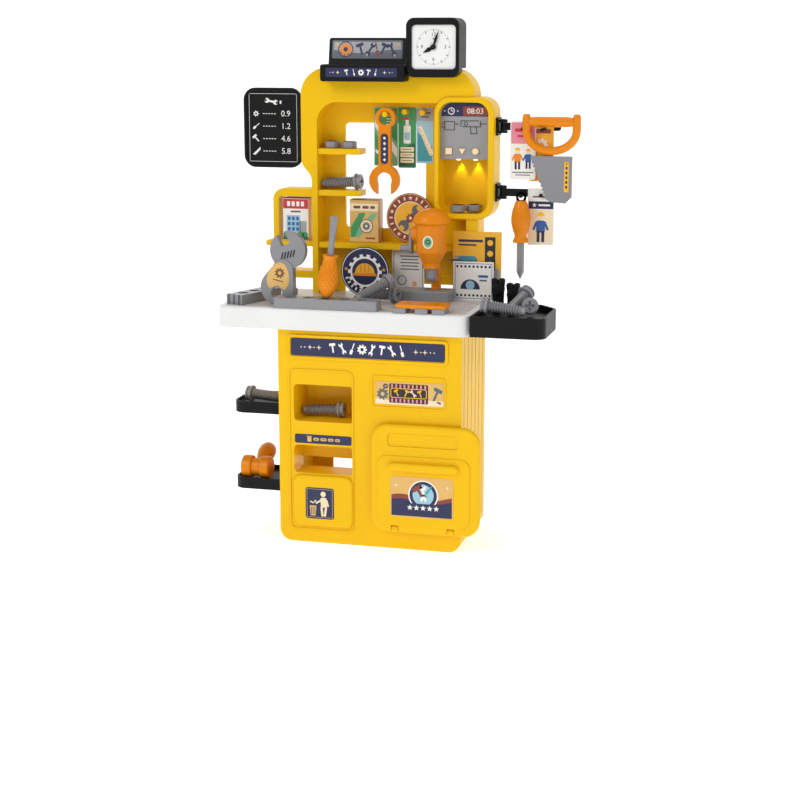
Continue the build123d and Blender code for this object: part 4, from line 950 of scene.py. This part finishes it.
def cartons():
    """The paint carton in the side rack and the parts carton on the long shelf."""
    paint_box, width, tall = carton(
        "paint_carton", (-145.5, -112.0, 58, 79, 350, 403), "cream", "rust")
    paint_box.bar(width - 1, tall - 2.2, "white")
    paint_box.bar(width - 1, 12, "red", (0, tall / 2 - 7.4), layer=2)
    for x in (-9, -3, 3, 9):
        paint_box.bar(4, 6, "white", (x, tall / 2 - 7.4), layer=3, round_by=0.8)
    paint_box.bar(18, 22, "sky", (-3, -6), layer=2)
    for row in range(3):
        for column in range(3):
            paint_box.bar(3.4, 4.2, "blue", (-8.5 + 5.4 * column, 1 - 6.6 * row), layer=3)
    paint_box.bar(9, 15, "grey", (9.5, -9.5), layer=2)
    for x, radius in ((-12, 4.2), (-5, 3.4), (6, 4.4), (12, 3.6)):
        paint_box.disc(radius, "green", (x, -19), layer=4, sides=22)
    paint_box.bar(width - 1, 4, "dark_green", (0, -23.4), layer=5)
    paint_box.bar(13, 2, "rust", (0, 9.5), layer=2)
    paint_box.done("root", "carton", "parts_boxes")

    parts_box, width, tall = carton(
        "parts_carton", (-59.0, -22.0, 58, 79, 350, 403), "sand", "brown")
    parts_box.bar(width - 1, tall - 2.2, "tan")
    parts_box.bar(width - 1, 9, "cream", (0, 17), layer=2)
    for x, long in ((-9, 9), (2, 8), (11, 6)):
        parts_box.bar(long, 3.4, "brown", (x, 17), layer=3, round_by=1.2)
    parts_box.shape(((-17, -20), (-6, -20), (17, 8), (17, 10), (10, 10)), "leaf", layer=2)
    parts_box.shape(((-17, -8), (-17, -20), (-12, -20), (2, 10), (-6, 10)), "green", layer=3)
    parts_box.disc(8.5, "cream", (3, -6), layer=4)
    parts_box.ring(8.6, 7.6, "rust", (3, -6), layer=5)
    parts_box.gear(4.6, "slate", (3, -6), "cream", layer=5)
    parts_box.bar(12, 2, "rust", (8, -21), layer=2)
    parts_box.done("root", "carton", "parts_boxes")


# Play tools -----------------------------------------------------------------------------------

WRENCH_HEAD_Y = -47.98
WRENCH_HOLE = (-118, -48.98, 300)
LABEL_BITE_R = 9.4


def label_on_tools():
    """Stickers and printed strips on the wrenches, the saw and the drill, and painted shade for the
    adjustable wrench's slots.
    """
    # Painted shade: black bars on the adjustable wrench stand for the shade inside its slots.
    slot_shade = Print("wrench_slot_shade", (-103.5, WRENCH_HEAD_Y, 346))
    for step in range(-2, 3):
        slot_shade.bar(2.0, 8.6, "black", (3.6 * step, 0.9 * step), -14)
    slot_shade.done("adjustable_wrench", "grey_tool")

    label = Print("wrench_label", WRENCH_HOLE)
    lean = math.radians(-13)
    outline = []
    for step in range(56):
        angle = math.tau * step / 56
        wide = 15.5 * math.sin(angle) * (0.88 - 0.16 * math.cos(angle))
        tall = 18 * math.cos(angle)
        spot = Vector((wide * math.cos(lean) - tall * math.sin(lean) + 2.4,
                       wide * math.sin(lean) + tall * math.cos(lean) + 19.0))
        if spot.length < LABEL_BITE_R:
            spot *= LABEL_BITE_R / spot.length
        outline.append(tuple(spot))
    label.shape(outline[::-1], "tan", height=0.3)
    label.place = label.place @ Matrix.Translation((0, 0, 0.27))
    label.gear(5.6, "brown", (4.2, 24), "tan")
    label.bar(13, 1.3, "brown", (2.2, 15), -13)
    label.done("adjustable_wrench", "navy_label")

    sticker = Print("drill_sticker", (55, 0.9, 360))
    sticker.oval(6.2, 7.6, "white", height=1.5)
    sticker.place = sticker.place @ Matrix.Translation((0, 0, 1.46))
    sticker.oval(4.9, 6.2, "leaf")
    sticker.gear(3.4, "dark_green", (0, 0.4), "leaf", layer=2)
    sticker.done("drill_press", "navy_label")

    strip = Print("ring_wrench_strip", (-14, 58, 465))
    strip.bar(8.6, 36, "navy", round_by=3.8, height=0.5)
    strip.place = strip.place @ Matrix.Translation((0, 0, 0.46))
    for step in range(5):
        strip.star(6, 2.2, 1.1, "white", (0, -13 + 6.5 * step))
    strip.done("ring_wrench", "navy_label")

    blade = Print("saw_strip", (210, 54, 436))
    blade.bar(5.6, 36, "yellow", round_by=1.2, height=0.3)
    blade.place = blade.place @ Matrix.Translation((0, 0, 0.26))
    for step in range(5):
        blade.bar(2.4, 3.2, "navy", (0, -12 + 5.6 * step), round_by=0.6)
    blade.star(4, 2.0, 0.6, "navy", (0, 15.4))
    blade.done("saw", "navy_label")


def master_bolt():
    """One chunky play bolt along local Z: slotted head, flange and a rolled thread, in mm."""
    bm = bmesh.new()
    profile = [(0, 0), (8.2, 0), (9.0, 0.9), (9.0, 2.3), (8.0, 3.0), (8.0, 5.0), (9.6, 5.2),
               (10.0, 5.8), (10.0, 7.4), (9.5, 8.0), (5.4, 8.0), (5.4, 9.4)]
    pitch = 3.2
    for turn in range(12):
        base = 9.4 + pitch * turn
        profile += [(6.5, base + 1.0), (6.5, base + 1.5), (4.5, base + 2.5), (4.5, base + pitch)]
    profile += [(5.2, 50.4), (4.4, 52.0), (0, 52.0)]
    turned(bm, profile, 32)
    for vert in bm.verts:
        reach = math.hypot(vert.co.x, vert.co.y)
        if 10 < vert.co.z < 48 and reach > 5:
            vert.co.z += 0.5 * pitch * vert.co.x / reach
    mesh = bpy.data.meshes.new("bolt_pattern")
    bmesh.ops.recalc_face_normals(bm, faces=bm.faces)
    bm.to_mesh(mesh)
    bm.free()
    cutter_bm = bmesh.new()
    for size in ((10.5, 2.8, 6.6), (2.8, 10.5, 6.6)):
        bmesh.ops.create_cube(cutter_bm, size=1.0, matrix=Matrix.Diagonal((*size, 1.0)))
    cutter_mesh = bpy.data.meshes.new("cross_cutter")
    cutter_bm.to_mesh(cutter_mesh)
    cutter_bm.free()
    bolt = bpy.data.objects.new("bolt_pattern", mesh)
    cutter = bpy.data.objects.new("cross_cutter", cutter_mesh)
    for made in (bolt, cutter):
        bpy.context.scene.collection.objects.link(made)
    cut = bolt.modifiers.new("cross", "BOOLEAN")
    cut.object, cut.operation, cut.solver, cut.use_self = cutter, "DIFFERENCE", "EXACT", True
    bpy.context.view_layer.update()
    settled = bolt.evaluated_get(bpy.context.evaluated_depsgraph_get())
    ready = bpy.data.meshes.new_from_object(settled)
    for made in (bolt, cutter):
        bpy.data.objects.remove(made)
    return ready


BOLTS = (
    ((-38.0, -36.0, 160.1), 180, 3.6), ((-170.0, -14.0, 169.1), -5, 3.6),
    ((-45.0, 64.5, 424.6), 176, 3.6), ((14.0, -12.0, 316.0), 222, 24),
    ((19.0, -2.0, 296.6), 164, 3.6), ((133.5, -60.0, 298.0), 0, 8),
    ((180.0, -14.0, 309.0), 240, 30), ((188.0, -50.0, 297.0), 100, 12),
)


def play_bolts():
    """The loose bolts where they lie."""
    pattern = master_bolt()
    for number, (point, heading, dip) in enumerate(BOLTS, 1):
        bm = bmesh.new()
        bm.from_mesh(pattern)
        spot = at(*point, ("Z", heading), ("Y", 90 + dip))
        bmesh.ops.transform(bm, matrix=TO_METRES @ spot, verts=bm.verts)
        add_piece(f"play_bolt_{number}", bm, [GREY], "root", ["toy_bolts"], smooth=35)


NUTS = (
    ((-83.0, 66.0, 464.5), 0), ((-61.5, 66.0, 464.5), 12), ((77.5, 60.0, 391.0), 0),
    ((95.5, 69.5, 391.0), 24), ((-128.0, 30.0, 286.0), 8),
)
NUT_AF, NUT_H, NUT_BORE = 17.5, 8.5, 6.6


def play_nuts():
    """Hexagonal nuts with chamfered corners and a ribbed bore."""
    for number, (point, heading) in enumerate(NUTS, 1):
        bm = bmesh.new()
        rings = []
        levels = ((0.0, 0.93), (0.8, 1.0), (NUT_H - 0.8, 1.0), (NUT_H, 0.93))
        for height, share in levels:
            loop = bmesh.ops.create_circle(bm, segments=36, radius=NUT_AF / 2)["verts"]
            for vert in loop:
                around = math.atan2(vert.co.y, vert.co.x) % (math.pi / 3) - math.pi / 6
                vert.co *= min(1 / math.cos(around), 1.11) * share
                vert.co.z = height
            rings.append(loop)
        bore = [(height, NUT_BORE + (0.5 if step % 2 else 0.0))
                for step, height in enumerate((NUT_H, 7.4, 6.2, 5.0, 3.8, 2.6, 1.2, 0.0))]
        for height, radius in bore:
            loop = bmesh.ops.create_circle(bm, segments=36, radius=radius)["verts"]
            bmesh.ops.translate(bm, verts=loop, vec=(0, 0, height))
            rings.append(loop)
        for low, high in zip(rings, rings[1:] + rings[:1]):
            edges = [e for e in {e for v in low + high for e in v.link_edges}
                     if all(v in low for v in e.verts) or all(v in high for v in e.verts)]
            bmesh.ops.bridge_loops(bm, edges=edges)
        bmesh.ops.transform(bm, matrix=TO_METRES @ at(*point, ("Z", heading)), verts=bm.verts)
        add_piece(f"play_nut_{number}", bm, [GREY], "root", ["toy_nuts"], smooth=35)


GRIP_STEPS = 26


def dimple(bm, low, high, depth):
    """Press every other facet between two heights inwards, as on a moulded grip."""
    bm.faces.ensure_lookup_table()
    chosen = []
    rows = sorted({round(f.calc_center_median().z, 2) for f in bm.faces})
    for face in bm.faces:
        centre = face.calc_center_median()
        if low < centre.z < high and len(face.verts) == 4 and math.hypot(centre.x, centre.y) > 4:
            turn = math.atan2(centre.y, centre.x) % math.tau
            column = round(turn * GRIP_STEPS / math.tau - 0.5)
            row = rows.index(round(centre.z, 2))
            if (column + row) % 2 == 0:
                chosen.append(face)
    bmesh.ops.inset_individual(bm, faces=chosen, thickness=0.4, depth=-depth)


def smooth_profile(points, samples=16):
    """More points on a curve through the given (radius, height) points."""
    curve = []
    for index in range(len(points) - 1):
        before = points[max(index - 1, 0)]
        start, end = points[index], points[index + 1]
        after = points[min(index + 2, len(points) - 1)]
        for step in range(samples):
            t = step / samples
            curve.append(tuple(
                0.5 * (2 * b + (c - a) * t + (2 * a - 5 * b + 4 * c - d) * t ** 2
                       + (3 * b - a - 3 * c + d) * t ** 3)
                for a, b, c, d in zip(before, start, end, after)
            ))
    return curve + [points[-1]]


def grips():
    """The two screwdrivers' dimpled handles."""
    bm = bmesh.new()
    side = smooth_profile(
        [(9.2, 0), (9.4, 3), (7.4, 8), (10.8, 22), (11.0, 32), (8.5, 44), (6, 50)], 3
    )
    turned(bm, [(0, 0)] + side + [(0, 50)], GRIP_STEPS)
    dimple(bm, 11, 41, 0.5)
    ring = bmesh.ops.create_circle(
        bm, segments=14, radius=1.5, matrix=at(5, 0, 54, ("X", 90))
    )["verts"]
    rim = ring + list({e for v in ring for e in v.link_edges})
    bmesh.ops.spin(bm, geom=rim, cent=(0, 0, 54), axis=(0, 1, 0), steps=28, angle=math.tau,
                   use_merge=True)
    hang_x, hang_z = 156.5, 357.1
    bmesh.ops.transform(bm, matrix=TO_METRES @ at(hang_x, 52, hang_z), verts=bm.verts)
    add_piece("hanging_grip", bm, [ORANGE], "hanging_driver",
              ["hanging_driver_handle"], smooth=50)

    bm = bmesh.new()
    side = smooth_profile([(6.0, 0), (11.6, 13), (11.0, 27), (7.6, 42), (9.6, 48)], 4)
    turned(bm, [(0, 0)] + side + [(0, 48)], GRIP_STEPS)
    dimple(bm, 7, 36, 0.5)
    spot = at(-52, -62, 301.2, ("Y", 6.5))
    for x in (-4, 4):
        bmesh.ops.create_cone(bm, cap_ends=True, segments=16, radius1=1.8, radius2=1.8, depth=4,
                              matrix=at(x, 0, -1))
    bmesh.ops.transform(bm, matrix=TO_METRES @ spot, verts=bm.verts)
    add_piece("standing_grip", bm, [ORANGE], "standing_driver",
              ["standing_driver_handle"], smooth=50)


TUBE_R, TUBE_SIDES = 4.9, 20
SAW_X, SAW_Y, SAW_Z = 191, 55, 490
BEND_X, BEND_Z, BEND_STEPS = 30, 24, 28
STEM, STEM_STEPS = 3.8, 5


def saw_grip():
    """The saw's bent-tube handle with a barrel to hold across its open top."""
    bm = bmesh.new()
    stem = [STEM * step for step in range(STEM_STEPS)]
    path = [(SAW_X - BEND_X, SAW_Z + 19 - rise) for rise in stem]
    path += [(SAW_X - BEND_X * math.cos(a), SAW_Z - BEND_Z * math.sin(a))
             for a in (math.pi * step / BEND_STEPS for step in range(BEND_STEPS + 1))]
    path += [(SAW_X + BEND_X, SAW_Z + STEM + rise) for rise in stem]
    rings = []
    for index, (x, z) in enumerate(path):
        before, after = path[max(index - 1, 0)], path[min(index + 1, len(path) - 1)]
        along = Vector((after[0] - before[0], 0, after[1] - before[1])).normalized()
        aside = Vector((along.z, 0, -along.x))
        tapered = index in (0, len(path) - 1)
        reach = TUBE_R * (0.72 if tapered else 1.0)
        rings.append([
            bm.verts.new(Vector((x, SAW_Y, z)) + reach * (
                aside * math.cos(math.tau * k / TUBE_SIDES)
                + Vector((0, math.sin(math.tau * k / TUBE_SIDES), 0))))
            for k in range(TUBE_SIDES)
        ])
    for low, high in zip(rings, rings[1:]):
        for k in range(TUBE_SIDES):
            bm.faces.new((low[k], low[k - 1], high[k - 1], high[k]))
    bm.faces.new(rings[0])
    bm.faces.new(rings[-1][::-1])
    barrel = smooth_profile([(4.4, 0), (5.9, 7), (6.1, 30), (5.9, 47), (4.4, 54)], 5)
    whole = turned(bm, [(0, 0)] + barrel + [(0, 54)], 28)
    bmesh.ops.transform(bm, matrix=at(SAW_X - 27, SAW_Y, SAW_Z + 10, ("Y", 90)), verts=whole)
    bmesh.ops.transform(bm, matrix=TO_METRES, verts=bm.verts)
    add_piece("saw_grip", bm, [ORANGE], "saw", ["saw_handle"], smooth=50)


TRAY_FLOOR, CLAMP_SPRING_R = 278, 7.0


def clamps():
    """Two black spring clamps that stand in the bolt tray."""
    for number, (x, y, tall) in enumerate(((139.0, 8.0, 41.0), (156.0, 14.0, 35.0)), 1):
        bm = bmesh.new()
        pivot = at(x, y, TRAY_FLOOR - 13 + tall, ("X", 90))
        for side in (-1, 1):
            rounded_box(bm, (7.4, 9.6, tall),
                        at(x + side * 3.2, y, TRAY_FLOOR + tall / 2, ("Y", side * 2)), 2.4)
            rounded_box(bm, (7.0, 10.4, 13),
                        at(x + side * 4.2, y, TRAY_FLOOR - 6 + tall, ("Y", side * 8)), 2.8)
        spring = bmesh.ops.create_cone(
            bm, cap_ends=True, segments=32, radius1=CLAMP_SPRING_R, radius2=CLAMP_SPRING_R,
            depth=13.6, matrix=pivot,
        )["verts"]
        around = {e for v in spring for e in v.link_edges}
        rim = [e for e in around if abs(e.verts[0].co.y - e.verts[1].co.y) < 1]
        bmesh.ops.bevel(bm, geom=rim, offset=0.9, segments=3, profile=0.5, affect="EDGES",
                        material=-1)
        bmesh.ops.create_cone(bm, cap_ends=True, segments=24, radius1=2.8, radius2=2.4,
                              depth=14.6, matrix=pivot)
        bmesh.ops.transform(bm, matrix=TO_METRES, verts=bm.verts)
        add_piece(f"spring_clamp_{number}", bm, [BLACK], "root",
                  ["spring_clamps"])


# Carried-over CAD nodes -----------------------------------------------------------------------

def finish_frame():
    """Give every shown CAD node the finish of its slot."""
    for part in frame["record"]["subparts"]:
        node = NODES[part["node"]]
        finish = SLOT_FINISH.get(part["material_slot"])
        if node.hide_render or finish is None:
            continue
        for slot in node.material_slots:
            slot.material = finish


# Camera, light and floor ----------------------------------------------------------------------

def floor_sweep():
    """A pale floor that curves up behind the bench."""
    bm = bmesh.new()
    rail = [bm.verts.new((-6, -4, 0)), bm.verts.new((6, -4, 0))]
    edge = bm.edges.new(rail)
    grown = bmesh.ops.extrude_edge_only(bm, edges=[edge])["geom"]
    bmesh.ops.translate(bm, verts=verts_of(grown), vec=(0, 7.0, 0))
    far = [e for e in edges_of(grown) if all(v.co.y > 2.9 for v in e.verts)]
    for step in range(8):
        angle = math.radians((step + 0.5) * 90 / 8)
        grown = bmesh.ops.extrude_edge_only(bm, edges=far)["geom"]
        moved = verts_of(grown)
        bmesh.ops.translate(bm, verts=moved, vec=(0, 0.3 * math.cos(angle), 0.3 * math.sin(angle)))
        far = [e for e in edges_of(grown) if all(v in moved for v in e.verts)]
    grown = bmesh.ops.extrude_edge_only(bm, edges=far)["geom"]
    bmesh.ops.translate(bm, verts=verts_of(grown), vec=(0, 0, 5.0))
    mesh = bpy.data.meshes.new("floor")
    bm.to_mesh(mesh)
    bm.free()
    mesh.shade_smooth()
    finish = Finish("pale_floor")
    faint = finish.noise(400, 2.0)
    tone = finish.blend(faint, paint("F7F7F7"), paint("FCFCFC"))
    mesh.materials.append(finish.skin(
        Base_Color=tone, Roughness=0.9, Emission_Color=tone, Emission_Strength=0.55,
    ))
    floor = bpy.data.objects.new("floor", mesh)
    bpy.context.scene.collection.objects.link(floor)


def lights():
    """White surroundings, three soft lights and the two small lamps of the alcove."""
    world = bpy.data.worlds.new("studio")
    world.use_nodes = True
    world.node_tree.nodes["Background"].inputs["Color"].default_value = (1.0, 1.0, 1.0, 1.0)
    world.node_tree.nodes["Background"].inputs["Strength"].default_value = 0.42
    bpy.context.scene.world = world
    bpy.context.scene.view_settings.view_transform = "Standard"

    centre = (cad_low + cad_high) / 2
    for name, place, size, power, colour in (
        ("key", (-1.3, -2.0, 1.9), 1.2, 23, (1.0, 0.99, 0.97)),
        ("fill", (2.2, -1.4, 1.0), 1.6, 8, (0.97, 0.98, 1.0)),
        ("top", (0.1, 0.3, 2.6), 1.4, 12, (1.0, 1.0, 1.0)),
    ):
        light = bpy.data.lights.new(name, "AREA")
        light.energy, light.size, light.color = power, size, colour
        lamp = bpy.data.objects.new(name, light)
        lamp.location = place
        lamp.rotation_euler = (centre - Vector(place)).to_track_quat("-Z", "Y").to_euler()
        bpy.context.scene.collection.objects.link(lamp)
    lens_low, lens_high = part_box("lamps")
    for x in (lens_low.x + 3.2 * MM, lens_high.x - 3.2 * MM):
        light = bpy.data.lights.new("lamp_glow", "SPOT")
        light.energy, light.spot_size, light.spot_blend = 0.03, math.radians(60), 0.4
        light.color, light.shadow_soft_size = (1.0, 0.86, 0.55), 0.002
        lamp = bpy.data.objects.new("lamp_glow", light)
        lamp.location = (x, 79 * MM, lens_low.z - 1.5 * MM)
        lamp.rotation_euler = Vector((0, 0.1, -1)).to_track_quat("-Z", "Y").to_euler()
        bpy.context.scene.collection.objects.link(lamp)


def viewer():
    """The camera, a little above the worktop and to the right."""
    camera_data = bpy.data.cameras.new("camera")
    camera_data.lens, camera_data.sensor_width = 76.5, 36.0
    camera = bpy.data.objects.new("camera", camera_data)
    camera.location = (0.5401, -1.9488, 0.5991)
    aim = Vector((0.02216, -0.005, 0.16829)) - camera.location
    camera.rotation_euler = aim.to_track_quat("-Z", "Y").to_euler()
    bpy.context.scene.collection.objects.link(camera)
    bpy.context.scene.camera = camera


floor_sweep()
lights()
viewer()
sign_label()
crest_label()
toolbox_label()
bin_labels()
door_label()
menu_art()
picture_art()
dial()
control_panel()
peg_cards()
badges()
bench_cards()
arm_cards()
cartons()
label_on_tools()
play_bolts()
play_nuts()
grips()
saw_grip()
clamps()
finish_frame()
